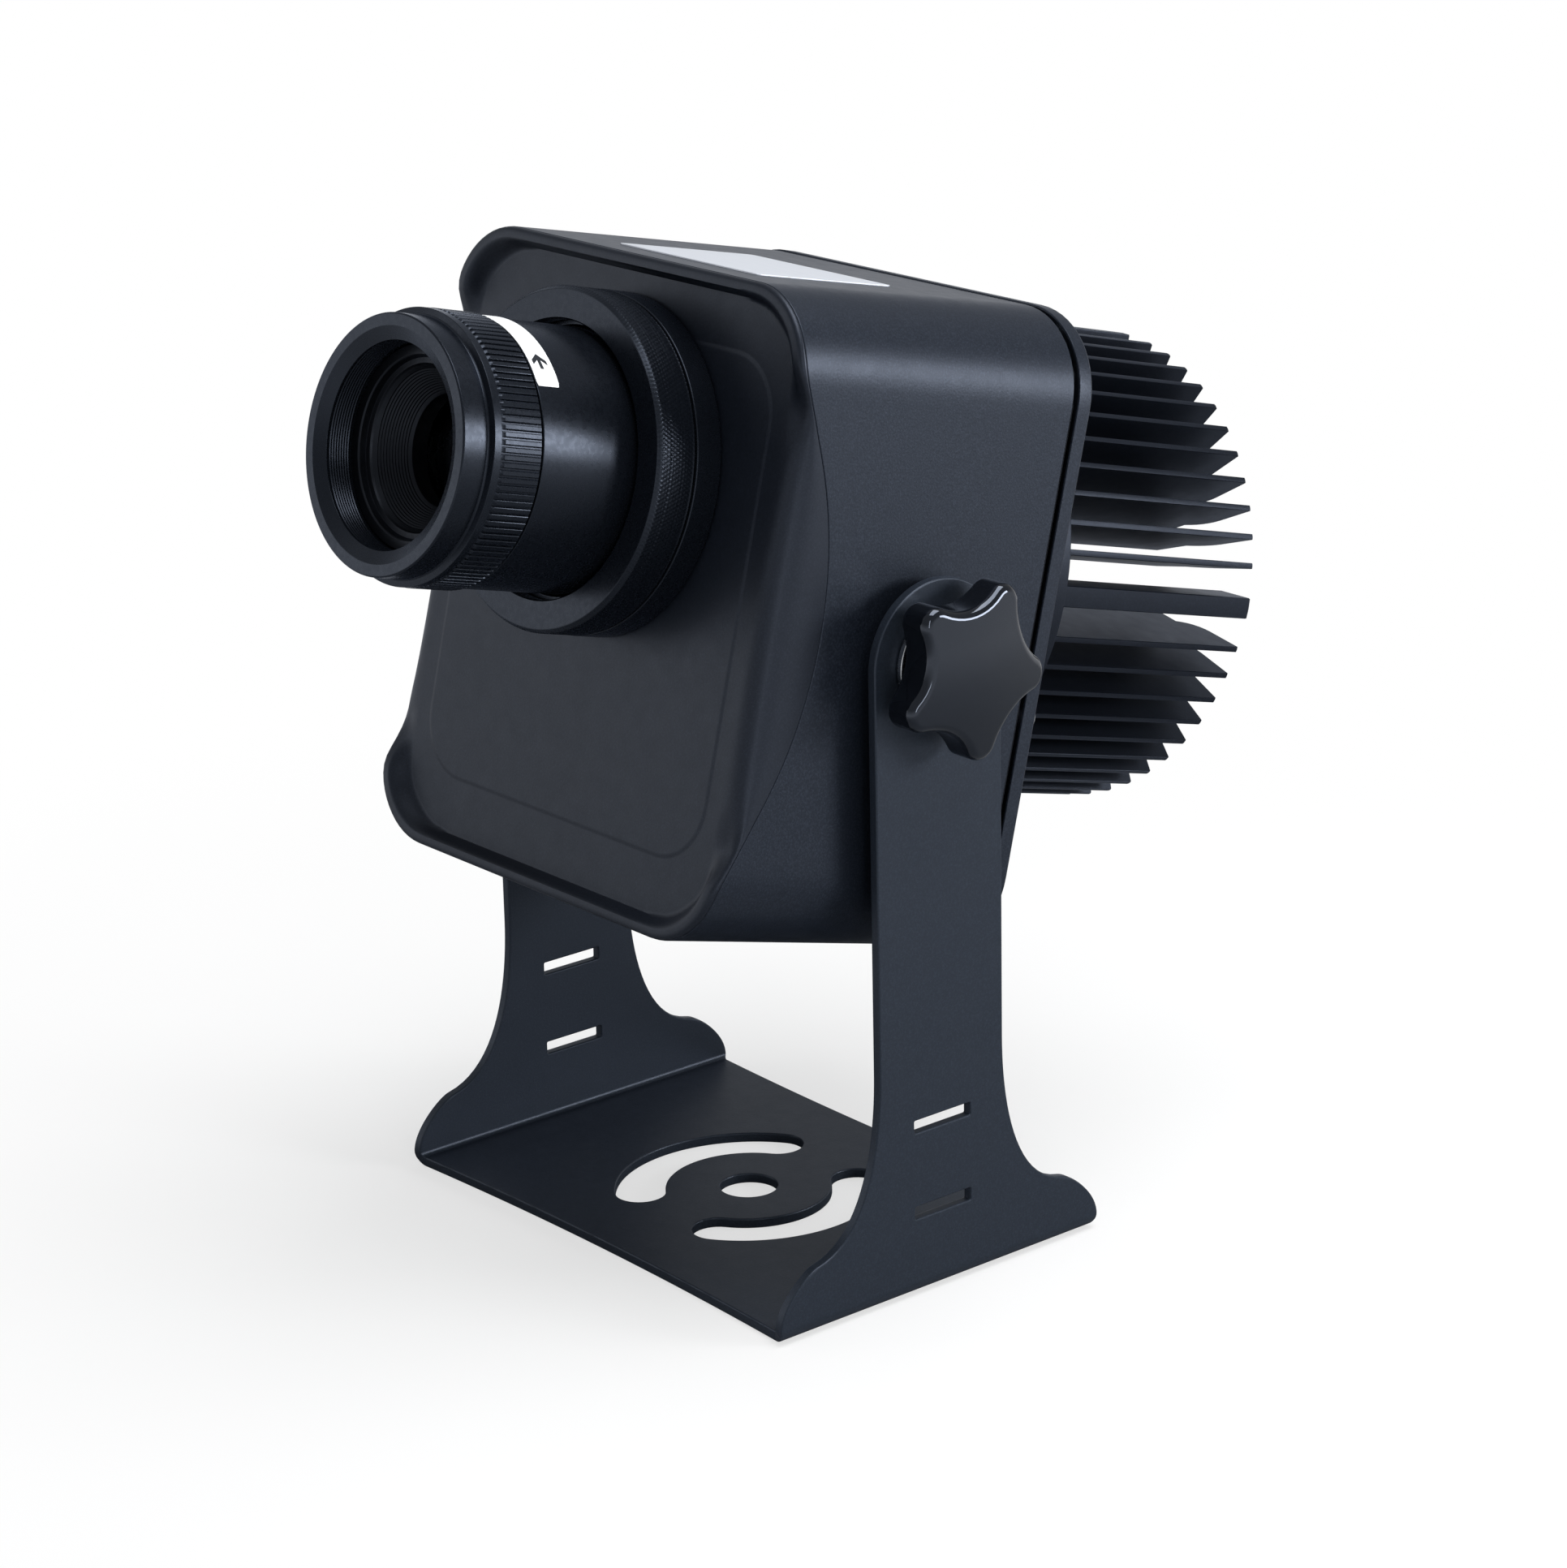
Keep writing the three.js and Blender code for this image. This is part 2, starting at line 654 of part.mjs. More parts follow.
// Sizes of the shell's rear outline drawn in by an inset
function outlineArgs(inset) {
  const out = draftGrowth - inset;
  return [frontHalfWidth + out, frontTop + draftGrowth * 2 - inset, frontBottom - out, cornerRadius + out];
}
piece(head, "rear_gasket", makeGasket(), softRubber);

function makeCover() {
  const outer = roundedOutline(...outlineArgs(-coverProud));
  const rim = roundedOutline(...outlineArgs(coverBevel - coverProud));
  const inner = roundedOutline(...outlineArgs(coverWall));
  const body = solidOf(loft([ringAt(rim, coverRear), ringAt(outer, coverRear + coverBevel),
    ringAt(outer, coverFront)]));
  const hollow = loft([ringAt(inner, coverRear + coverPlate), ringAt(inner, coverFront + cutOverrun)]);
  let solid = cut(body, hollow);
  for (const [x, height] of coverScrewPlaces) {
    const pad = bar(screwBossRadius, coverRear + coverPlate / 2, coverFront, smallSides)
      .translate(x, 0, height);
    const clear = bar(pilotRadius, coverRear - cutOverrun, coverFront + cutOverrun, smallSides);
    solid = cut(solid.add(solidOf(pad).intersect(body)), clear.translate(x, 0, height));
  }
  for (const [x, height] of sinkScrewPlaces) {
    const clear = bar(pilotRadius, coverRear - cutOverrun, coverFront + cutOverrun, smallSides);
    solid = cut(solid, clear.translate(x, 0, height));
  }
  const window = bar(pedestalRadius + fitGap, coverRear - cutOverrun, coverFront + cutOverrun);
  const entry = bar(glandThreadRadius + fitGap, coverRear - cutOverrun, coverFront + cutOverrun);
  return geometryOf(cut(solid, window.translate(0, 0, lensLift), entry.translate(glandX, 0, glandHeight)));
}

// Screws from inside the cover into the heat sink's disc
const sinkScrewPlaces = [0, 1, 2, 3].map((i) => {
  const angle = sinkScrewTurn + i * Math.PI / 2;
  return [sinkScrewCircle * Math.cos(angle), sinkLift + sinkScrewCircle * Math.sin(angle)];
});
piece(head, "rear_cover", makeCover(), blackPowder);
coverScrewPlaces.forEach(([x, height], i) => {
  const mesh = piece(head, `cover_screw_${i + 1}`, screw(coverRear), steel);
  mesh.position.set(x, 0, height);
});

const discFront = coverRear - fitGap;
const finRoot = discFront - sinkDiscThickness;
const sinkRear = discFront - sinkLength;
const sinkScrewReach = sinkDiscThickness * sinkScrewShare;

function makeFin(thickness, inner) {
  const floor = finRoot + sinkDiscThickness * finFootShare;
  const shape = new THREE.Shape();
  shape.moveTo(inner, floor);
  shape.lineTo(sinkRadius, floor);
  shape.lineTo(sinkRadius, sinkRear);
  shape.lineTo(recessRadius, sinkRear);
  if (inner < recessRadius) {
    shape.lineTo(recessRadius, sinkRear + recessDepth);
    shape.lineTo(inner, sinkRear + recessDepth);
  }
  const fin = new THREE.ExtrudeGeometry(shape, { depth: thickness, bevelEnabled: false });
  fin.translate(0, 0, -thickness / 2);
  fin.scale(1, -1, 1);
  return solidOf(fin);
}

function makeHeatSink() {
  let solid = solidOf(bar(sinkDiscRadius, finRoot, discFront, fineSides));
  const pedestal = bar(pedestalRadius, discFront - sinkDiscThickness / 2, discFront + pedestalLength);
  solid = solid.add(solidOf(pedestal.translate(0, 0, lensLift - sinkLift)));
  const finPitch = (bossPitch - 2 * bossGap) / (finsBetweenBosses - 1);
  const fin = makeFin(finThickness, finInnerRadius);
  const bossFin = makeFin(bossFinWidth, sinkRadius - bossFinWidth * 2);
  for (let start = 0; start < 2 * Math.PI - finPitch; start += bossPitch) {
    solid = solid.add(bossFin.rotate([0, -THREE.MathUtils.radToDeg(start), 0]));
    for (let i = 0; i < finsBetweenBosses; i += 1) {
      const angle = start + bossGap + i * finPitch;
      solid = solid.add(fin.rotate([0, -THREE.MathUtils.radToDeg(angle), 0]));
    }
    const hole = bar(bossHoleRadius, sinkRear - cutOverrun, sinkRear + bossHoleDepth, smallSides);
    const circle = sinkRadius - bossFinWidth / 2 - bossHoleRadius;
    solid = cut(solid, hole.translate(circle * Math.cos(start), 0, circle * Math.sin(start)));
  }
  for (const [x, height] of sinkScrewPlaces) {
    const pilot = bar(pilotRadius, discFront - sinkScrewReach - fitGap, discFront + cutOverrun, smallSides);
    solid = cut(solid, pilot.translate(x, 0, height - sinkLift));
  }
  return geometryOf(solid);
}
piece(cooler, "heat_sink", makeHeatSink(), blackAnodised);

function makeSinkScrew() {
  const seat = coverRear + coverPlate + fitGap;
  return turned([[0, discFront - sinkScrewReach], [screwRadius, discFront - sinkScrewReach],
    [screwRadius, seat], [screwHeadRadius, seat], [screwHeadRadius, seat + screwHeadHeight / 2],
    [screwHeadRadius * screwCrownShare, seat + screwHeadHeight], [0, seat + screwHeadHeight]], smallSides);
}
sinkScrewPlaces.forEach(([x, height], i) => {
  const mesh = piece(head, `sink_screw_${i + 1}`, makeSinkScrew(), steel);
  mesh.position.set(x, 0, height);
});

// Light source and condenser
const boardRear = discFront + pedestalLength + fitGap;
const ledRear = boardRear + boardThickness + fitGap;
piece(optics, "led_board", bar(boardRadius, boardRear, boardRear + boardThickness), whiteBoard);
piece(optics, "led_module", bar(ledRadius, ledRear, ledRear + ledThickness, smallSides), phosphor);

const tubeBore = pedestalRadius + fitGap;
const tubeRadius = tubeBore + tubeWall;
const cupBore = holderRadius + fitGap;

function makeCondenserTube() {
  const rear = discFront + pedestalLength - tubeSeat;
  const ledge = condenserFirst - fitGap;
  const lip = tubeFront - tubeWall;
  return turned([[tubeBore, rear], [tubeRadius, rear], [tubeRadius, lip - tubeWall],
    [cupBore + tubeWall, lip], [cupBore + tubeWall, tubeFront + cupDepth],
    [cupBore, tubeFront + cupDepth], [cupBore, tubeFront],
    [tubeBore, tubeFront], [tubeBore, ledge], [condenserBore, ledge], [condenserBore, ledge - tubeWall],
    [tubeBore, ledge - tubeWall]], roundSides);
}
piece(optics, "condenser_tube", makeCondenserTube(), blackAnodised);

// Lens with a flat rim to bear on and a crown on either face, measured at the axis
function lensGlass(radius, rear, edge, rearCrown, frontCrown) {
  const clear = radius - lensRim;
  const dome = (station, crown) => (crown === 0 ? [] : domeShares.map((share) => [clear * share,
    station + crown * (1 - share * share)]));
  return turned([[0, rear - rearCrown], ...dome(rear, -rearCrown), [radius, rear], [radius, rear + edge],
    ...dome(rear + edge, frontCrown).reverse(), [0, rear + edge + frontCrown]], roundSides);
}
const secondCondenser = condenserFirst + condenserSpacing;
piece(optics, "condenser_lens_rear",
  lensGlass(condenserRadius, condenserFirst, condenserEdge, 0, condenserCrown), clearGlass);
piece(optics, "condenser_lens_front",
  lensGlass(condenserRadius, secondCondenser + condenserCrown, condenserEdge, condenserCrown, 0), clearGlass);
piece(optics, "condenser_spacer",
  tube(condenserRadius, condenserRadius - tubeWall / 2, condenserFirst + condenserEdge + fitGap,
    secondCondenser + condenserCrown - fitGap), blackAnodised);

// Pattern disc in its holder
const holderRear = tubeFront + fitGap;
const goboRear = holderRear + holderThickness / 2 - goboThickness / 2;
const goboSeat = goboRadius + fitGap;

function makeHolder() {
  const holderFront = holderRear + holderThickness;
  return turned([[goboWindow, holderRear], [holderRadius, holderRear], [holderRadius, holderFront],
    [goboSeat, holderFront], [goboSeat, goboRear - fitGap], [goboWindow, goboRear - fitGap]], roundSides);
}
piece(optics, "gobo_holder", makeHolder(), bareAluminium);
piece(optics, "gobo_disc", bar(goboRadius, goboRear, goboRear + goboThickness), clearGlass);
piece(optics, "gobo_clip", tube(goboRadius, goboRadius - clipWidth, goboRear + goboThickness + fitGap,
  goboRear + goboThickness + fitGap + clipThickness), steel);

// Lens mount
const slideBore = barrelRadius + fitGap;
const ringSeat = bezelFace + padRise + fitGap;
piece(optics, "lens_base_ring", turned([[slideBore, neckRear], [neckRadius, neckRear], [neckRadius, ringSeat],
  [baseRingRadius, ringSeat], [baseRingRadius, baseRingFront], [noseRadius, baseRingFront],
  [noseRadius, noseFront], [slideBore, noseFront]], fineSides), blackAnodised);

const lockRear = baseRingFront + fitGap;
const lipRear = lockRingFront - lockRingLip;
piece(optics, "lock_ring", turned([[noseRadius + fitGap, lockRear],
  [lockRingRadius - lockRingChamfer, lockRear], [lockRingRadius, lockRear + lockRingChamfer],
  [lockRingRadius, lockRingFront - lockRingChamfer],
  [lockRingRadius - lockRingChamfer, lockRingFront], [lockRingBore, lockRingFront], [lockRingBore, lipRear],
  [noseRadius + fitGap, lipRear]], fineSides), blackAnodised);

piece(optics, "neck_nut", tube(neckRadius + tubeWall, neckRadius + fitGap, neckRear,
  bezelFace - bezelThickness - fitGap, fineSides), blackAnodised);

piece(optics, "lens_barrel", turned([[barrelBore - rearSeatLip, barrelRear], [barrelRadius, barrelRear],
  [barrelRadius, barrelShoulder], [barrelNoseRadius, barrelShoulder], [barrelNoseRadius, barrelNoseFront],
  [barrelBore, barrelNoseFront], [barrelBore, rearSeat], [barrelBore - rearSeatLip, rearSeat]], fineSides),
blackAnodised);

const rearGlassRear = rearSeat + fitGap;
const rearGlassFront = rearGlassRear + rearLensEdge;
piece(optics, "rear_lens",
  lensGlass(barrelBore - fitGap, rearGlassRear, rearLensEdge, 0, rearLensCrown), clearGlass);
piece(optics, "rear_retainer", tube(barrelBore - fitGap, barrelBore - fitGap - retainerWidth,
  rearGlassFront + fitGap, rearGlassFront + fitGap + retainerThickness), blackAnodised);

// Focus group: the ring turns, the keyed cell slides with it
const ringBore = barrelNoseRadius + fitGap;
const ringRear = barrelShoulder + fitGap;
const webRear = hoodShoulder - focusWeb - hoodBevel;
piece(optics, "focus_ring", turned([[ringBore, ringRear], [focusRingRadius, ringRear],
  [focusRingRadius, knurlFront], [focusRingRadius - fitGap, hoodShoulder - fitGap],
  [hoodRadius - fitGap, hoodShoulder - fitGap], [hoodRadius, hoodShoulder], [hoodRadius, hoodFront],
  [hoodMouth, hoodFront], [hoodBore, hoodFront - hoodBevel], [hoodBore, webRear], [ringBore, webRear]],
fineSides), blackAnodised);

const cellRadius = barrelBore - fitGap;
const cellBore = cellRadius - cellWall;
const glassRadius = cellBore - fitGap;
piece(optics, "focus_cell", turned([[cellLedgeBore, cellRear], [cellRadius, cellRear],
  [cellRadius, webRear - fitGap], [cellBore, webRear - fitGap], [cellBore, cellLedge],
  [cellLedgeBore, cellLedge]], roundSides), blackAnodised);

piece(optics, "front_lens", lensGlass(glassRadius, cellLedge + fitGap, frontLensEdge, 0, frontLensCrown),
  clearGlass);

function makeBaffle() {
  const stepped = [];
  for (let i = 0; i < baffleSteps; i += 1) {
    const radius = baffleMouth - i * baffleStep;
    const station = baffleFront - i * baffleStep / 2;
    stepped.push([radius, station], [radius, station - baffleStep / 2]);
  }
  return turned([[glassRadius, baffleRear], [glassRadius, webRear - fitGap],
    [hoodBore - fitGap, webRear - fitGap], [hoodBore - fitGap, baffleFront], ...stepped,
    [baffleThroat, baffleThroatStation], [baffleThroat, baffleRear + fitGap],
    [baffleThroat + baffleStep, baffleRear]], roundSides);
}
piece(optics, "lens_baffle", makeBaffle(), blackAnodised);

// Labels: a curved white one on the barrel and a flat silver one on top of the shell
function makeArrowLabel() {
  const shape = new THREE.Shape();
  const inner = barrelRadius + fitGap;
  shape.absarc(0, 0, inner + labelThickness, arrowLabelStart, arrowLabelStart + arrowLabelSpan, false);
  shape.absarc(0, 0, inner, arrowLabelStart + arrowLabelSpan, arrowLabelStart, true);
  const label = new THREE.ExtrudeGeometry(shape,
    { depth: arrowLabelWidth, bevelEnabled: false, curveSegments: labelSteps });
  label.rotateX(Math.PI / 2);
  return label.translate(0, arrowLabelWidth - barrelShoulder, 0);
}
piece(optics, "arrow_label", geometryOf(solidOf(makeArrowLabel())), labelPaper);

const topSlope = Math.atan2(2 * draftGrowth, shellFront - shellRear);
const topLabel = piece(head, "top_label", block(-topLabelWidth / 2, topLabelWidth / 2, -topLabelLength / 2,
  topLabelLength / 2, 0, labelThickness), silverFoil);
topLabel.position.set(topLabelShift, -topLabelStation, frontTop + 2 * draftAt(topLabelStation) + fitGap);
topLabel.rotation.x = topSlope;

// Star outline of the knob: round lobes joined by hollow flanks
function starOutline() {
  const lobe = knobRadius - knobTipRadius;
  const half = Math.PI / knobLobes;
  const pull = 2 * lobe * Math.cos(half);
  const flank = (knobTipRadius ** 2 - knobValleyRadius ** 2 - lobe ** 2 + pull * knobValleyRadius)
    / (2 * knobValleyRadius - pull - 2 * knobTipRadius);
  const reach = flank + knobValleyRadius;
  const sweep = Math.atan2(reach * Math.sin(half), reach * Math.cos(half) - lobe);
  const spread = sweep - half;
  const shape = new THREE.Shape();
  for (let i = 0; i < knobLobes; i += 1) {
    const middle = knobTurn + i * 2 * half;
    const valley = middle + half;
    shape.absarc(lobe * Math.cos(middle), lobe * Math.sin(middle), knobTipRadius, middle - sweep,
      middle + sweep, false);
    shape.absarc(reach * Math.cos(valley), reach * Math.sin(valley), flank, valley + Math.PI + spread,
      valley + Math.PI - spread, true);
  }
  return shape;
}

const washerFrom = legOuter + fitGap;
const hubFrom = washerFrom + washerThickness + fitGap;
const starFrom = hubFrom + hubLength;
const studEnd = hubFrom + socketDepth;
const insertInner = cavityHalfWidth - fitGap;

function makeKnob() {
  const star = new THREE.ExtrudeGeometry(starOutline(), {
    depth: knobDepth - 2 * knobBevel,
    bevelEnabled: true,
    bevelThickness: knobBevel,
    bevelSize: knobBevel,
    bevelOffset: -knobBevel,
    bevelSegments: 1,
    curveSegments: quarterSteps,
  });
  star.rotateX(Math.PI / 2);
  star.rotateZ(Math.PI / 2);
  star.translate(starFrom + knobBevel, 0, 0);
  const hub = crossBar(hubRadius, hubFrom, starFrom + knobBevel * 2);
  const socket = crossBar(studRadius + fitGap, hubFrom - cutOverrun, studEnd + fitGap, smallSides);
  return cut(joined(star, hub), socket);
}

// Ring along X between two places
function collar(outer, inner, from, to) {
  const bore = crossBar(inner, from - cutOverrun, to + cutOverrun, smallSides);
  return cut(solidOf(crossBar(outer, from, to)), bore);
}

function makeInsert() {
  const outer = shellHalfWidth - fitGap;
  const body = crossBar(insertRadius, insertInner - insertDepth, outer);
  const flange = crossBar(insertFlange, insertInner - insertFlangeThickness, insertInner);
  const rear = insertInner - insertDepth - cutOverrun;
  const bore = crossBar(studRadius + fitGap, rear, outer + cutOverrun, smallSides);
  return cut(joined(body, flange), bore);
}

const pivot = new THREE.Group();
head.add(pivot);
for (const [side, turn] of [["right", 0], ["left", Math.PI]]) {
  const place = (name, solid, material) => {
    piece(pivot, `${side}_${name}`, geometryOf(solid), material).rotation.z = turn;
  };
  place("thread_insert", makeInsert(), brightBrass);
  place("pivot_bush", collar(bushRadius, pivotHoleRadius, bushFrom, bushFrom + bushLength), softRubber);
  place("washer", collar(washerRadius, pivotHoleRadius, washerFrom, washerFrom + washerThickness), steel);
  place("knob_stud", solidOf(crossBar(studRadius, insertInner - studReach, studEnd, smallSides)), steel);
  place("knob", makeKnob(), glossPlastic);
}

// Driver on its plate, with a terminal block, in the lower half of the shell
const plateFloor = cavityBottom + fitGap;
const moduleFloor = plateFloor + driverPlate + fitGap;
piece(head, "driver_plate", block(-driverPlateWidth / 2, driverPlateWidth / 2, -driverPlateLength / 2,
  driverPlateLength / 2, plateFloor, plateFloor + driverPlate), bareAluminium);

function makeDriver() {
  const outline = roundedOutline(driverWidth / 2, moduleFloor + driverHeight, moduleFloor, driverCorner);
  return geometryOf(solidOf(loft([ringAt(outline, -driverLength / 2), ringAt(outline, driverLength / 2)])));
}
piece(head, "driver_module", makeDriver(), bareAluminium);
piece(head, "terminal_block", block(-blockWidth / 2, blockWidth / 2, -blockLength / 2, blockLength / 2,
  moduleFloor + driverHeight + fitGap, moduleFloor + driverHeight + fitGap + blockHeight), greenPlastic);

// Cable gland in the rear cover
const glandBearing = coverRear - fitGap;
const plateInner = coverRear + coverPlate + fitGap;
const glandRear = glandBearing - glandHexLength;
const entryGroup = new THREE.Group();
entryGroup.position.set(glandX, 0, glandHeight);
head.add(entryGroup);

// Hexagon with a round bore between two stations
function hexRing(radius, bore, rear, front) {
  const hole = bar(bore, rear - cutOverrun, front + cutOverrun);
  return cut(solidOf(bar(radius, rear, front, hexSides)), hole);
}
const glandShank = tube(glandThreadRadius, glandBore, glandRear - glandNutLength / 2,
  plateInner + lockNutThickness + fitGap);
const glandHex = hexRing(glandHexRadius, glandThreadRadius - fitGap, glandRear, glandBearing);
piece(entryGroup, "gland_body", geometryOf(glandHex.add(solidOf(glandShank))), glossPlastic);

function makeGlandCap() {
  const rear = glandRear - glandNutLength;
  const middle = glandRear - glandNutLength / 2 - fitGap;
  const front = glandRear - fitGap;
  const outer = glandHexRadius - tubeWall / 2;
  const inner = glandThreadRadius + fitGap;
  return turned([[glandBore, rear], [glandThreadRadius, rear],
    [outer, glandRear - glandNutLength * glandTaperShare], [outer, front], [inner, front], [inner, middle],
    [glandBore, middle]], roundSides);
}
piece(entryGroup, "gland_cap", makeGlandCap(), glossPlastic);
piece(entryGroup, "gland_locknut", geometryOf(hexRing(lockNutRadius, glandThreadRadius + fitGap, plateInner,
  plateInner + lockNutThickness)), glossPlastic);

// The lamp is centred on its own length, from the hood's rim to the top fin's rear corner
const frontReach = hoodFront * Math.cos(tiltAngle) + (hoodRadius - lensLift) * Math.sin(tiltAngle);
const rearReach = (sinkLift + sinkRadius) * Math.sin(tiltAngle) - sinkRear * Math.cos(tiltAngle);
lamp.position.y = (frontReach - rearReach) / 2;

export default projector;
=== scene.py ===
"""Gobo projector: the finished look of the lamp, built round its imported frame.

Lengths are in millimetres until a mesh is placed, which leaves it in metres.
The head's own coordinates are x across, station forward from the tilt axis
and height above it.
"""
from __future__ import annotations

import logging
import math
from collections.abc import Callable, Iterable, Sequence
from dataclasses import dataclass, field
from enum import Enum

import bmesh
import bpy
from mathutils import Matrix, Vector


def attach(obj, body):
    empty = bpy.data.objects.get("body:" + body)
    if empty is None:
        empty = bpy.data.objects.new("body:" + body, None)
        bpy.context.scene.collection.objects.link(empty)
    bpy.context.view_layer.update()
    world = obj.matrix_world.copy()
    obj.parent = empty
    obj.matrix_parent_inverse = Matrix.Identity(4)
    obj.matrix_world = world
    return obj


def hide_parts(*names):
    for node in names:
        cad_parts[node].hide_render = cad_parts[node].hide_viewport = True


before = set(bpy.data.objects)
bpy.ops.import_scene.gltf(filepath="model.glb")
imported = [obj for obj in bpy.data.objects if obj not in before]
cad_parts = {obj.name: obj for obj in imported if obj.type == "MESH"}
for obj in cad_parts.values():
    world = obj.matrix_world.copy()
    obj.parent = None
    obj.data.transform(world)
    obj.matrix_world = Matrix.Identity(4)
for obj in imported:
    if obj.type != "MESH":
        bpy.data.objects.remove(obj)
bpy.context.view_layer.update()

LOG = logging.getLogger("gobo_projector")
MM = 0.001
METRES = Matrix.Scale(MM, 4)
TILT = math.radians(14.0)
PIVOT_HEIGHT = 149.0
ORIGIN_SHIFT = -10.735
LENS_LIFT = 28.0
SINK_LIFT = 14.0
QUARTER = math.pi / 2
TURN = math.tau

# Painted light: the cool colour of the softboxes, painted into the reflections of the finishes that take it.
COOL_LAMP_TINT = "#dce8ff"
MOST_NOISE = (0.3, 0.7)

Pair = tuple[float, float]
Inputs = dict[str | int, object]
Shape = bmesh.types.BMesh
Tree = bpy.types.NodeTree
Node = bpy.types.Node
Socket = bpy.types.NodeSocket


class Place(Enum):
    """Where a piece's own coordinates lie in the row frame, in millimetres."""

    FLOOR = Matrix.Translation((0, ORIGIN_SHIFT, 0))
    HEAD = FLOOR @ Matrix.Translation((0, 0, PIVOT_HEIGHT)) @ Matrix.Rotation(-TILT, 4, "X")
    LENS = HEAD @ Matrix.Translation((0, 0, LENS_LIFT))
    COOLER = HEAD @ Matrix.Translation((0, 0, SINK_LIFT))


class Body(str, Enum):
    """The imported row's moving bodies that visible pieces ride on."""

    BRACKET = "bracket"
    HEAD = "head"
    LOCK = "lock_collar"
    TUBE = "lens_tube"
    GRIP = "focus_grip"
    GROUP = "focus_group"
    RIGHT_KNOB = "right_clamp_knob"
    LEFT_KNOB = "left_clamp_knob"
    RIGHT_WASHER = "right_clamp_washer"
    LEFT_WASHER = "left_clamp_washer"


# Nodes


def linear(colour: str) -> tuple[float, float, float, float]:
    """Turns an sRGB hex colour to linear.

    Args:
        colour: six hex digits, with or without a leading hash.

    Returns:
        Linear red, green, blue and an alpha of one.
    """
    digits = colour.lstrip("#")
    parts = [int(digits[i:i + 2], 16) / 255 for i in (0, 2, 4)]
    red, green, blue = (
        p / 12.92 if p <= 0.04045 else ((p + 0.055) / 1.055) ** 2.4 for p in parts
    )
    return red, green, blue, 1.0


def add(tree: Tree, kind: str, inputs: Inputs | None = None, **settings: object) -> Node:
    """Adds one node with its settings, values and links.

    Args:
        tree: the tree that gets the node.
        kind: the node's type name.
        inputs: socket name or index to a value or to another node's output.
        settings: the node's own properties.

    Returns:
        The new node.
    """
    node = tree.nodes.new(kind)
    for name, value in settings.items():
        setattr(node, name, value)
    for key, value in (inputs or {}).items():
        socket = node.inputs[key]
        if isinstance(value, Socket):
            tree.links.new(value, socket)
        else:
            socket.default_value = value
    return node


def repeat_tree(name: str, inputs: dict[str, str]) -> Tree:
    """Starts a Geometry Nodes tree that repeats a shape.

    Args:
        name: the tree's name.
        inputs: the label of each input after the geometry, to its kind of socket.

    Returns:
        The tree with its sockets and no nodes.
    """
    tree = bpy.data.node_groups.new(name, "GeometryNodeTree")
    face = tree.interface
    face.new_socket("Geometry", in_out="INPUT", socket_type="NodeSocketGeometry")
    for label, kind in inputs.items():
        face.new_socket(label, in_out="INPUT", socket_type=f"NodeSocket{kind}")
    face.new_socket("Geometry", in_out="OUTPUT", socket_type="NodeSocketGeometry")
    return tree


def end_repeat(tree: Tree, copies: Node, material: Socket) -> None:
    """Makes a tree's copies real, dresses them and passes them on.

    Args:
        tree: the tree that gets the nodes.
        copies: the node that sets out the copies.
        material: the material that they get.
    """
    real = add(tree, "GeometryNodeRealizeInstances", {"Geometry": copies.outputs["Instances"]})
    dressed = add(tree, "GeometryNodeSetMaterial", {
        "Geometry": real.outputs["Geometry"], "Material": material,
    })
    add(tree, "NodeGroupOutput", {"Geometry": dressed.outputs["Geometry"]})


def use_tree(obj: bpy.types.Object, tree: Tree, values: Inputs) -> None:
    """Puts a tree on an object as a live modifier.

    Args:
        obj: the object that gets the modifier.
        tree: the tree that it runs.
        values: each input's label to its value, which is set by the socket's identifier.
    """
    modifier = obj.modifiers.new(tree.name, "NODES")
    modifier.node_group = tree
    for item in tree.interface.items_tree:
        if item.in_out == "INPUT" and item.name in values:
            modifier[item.identifier] = values[item.name]


# Finishes


@dataclass
class Surface:
    """A material in the making: its tree, its shader and the coordinates that its patterns read."""

    tree: Tree
    shader: Node
    place: Socket

    def noise(self, cell_mm: float, detail: float, roughness: float = 0.5,
              at: Socket | None = None) -> Socket:
        """Adds a noise pattern.

        Args:
            cell_mm: how wide one cell of the pattern is.
            detail: how many finer layers it has.
            roughness: how strongly the finer layers show.
            at: the coordinates that it reads, the surface's own where none are given.

        Returns:
            The pattern's value.
        """
        return add(self.tree, "ShaderNodeTexNoise", {
            "Vector": self.place if at is None else at, "Scale": 1000.0 / cell_mm, "Detail": detail,
            "Roughness": roughness,
        }).outputs["Fac"]

    def spread(self, pattern: Socket, between: Pair, result: Pair = (0.0, 1.0)) -> Socket:
        """Maps a pattern's values.

        Args:
            pattern: the value that is mapped.
            between: the pattern's values at which the map starts and ends.
            result: what the map gives at each of them.

        Returns:
            The mapped value.
        """
        return add(self.tree, "ShaderNodeMapRange", {
            "Value": pattern, "From Min": between[0], "From Max": between[1],
            "To Min": result[0], "To Max": result[1],
        }).outputs["Result"]

    def gloss(self, pattern: Socket, between: Pair, roughness: Pair) -> None:
        """Makes the roughness follow a pattern, from its first value to its second."""
        self.tree.links.new(self.spread(pattern, between, roughness), self.shader.inputs["Roughness"])

    def bump(self, pattern: Socket, height_mm: float) -> None:
        """Raises the surface with a pattern, by a height where its value is one."""
        bump = add(self.tree, "ShaderNodeBump", {
            "Height": pattern, "Strength": 1.0, "Distance": height_mm * MM,
        })
        self.tree.links.new(bump.outputs["Normal"], self.shader.inputs["Normal"])


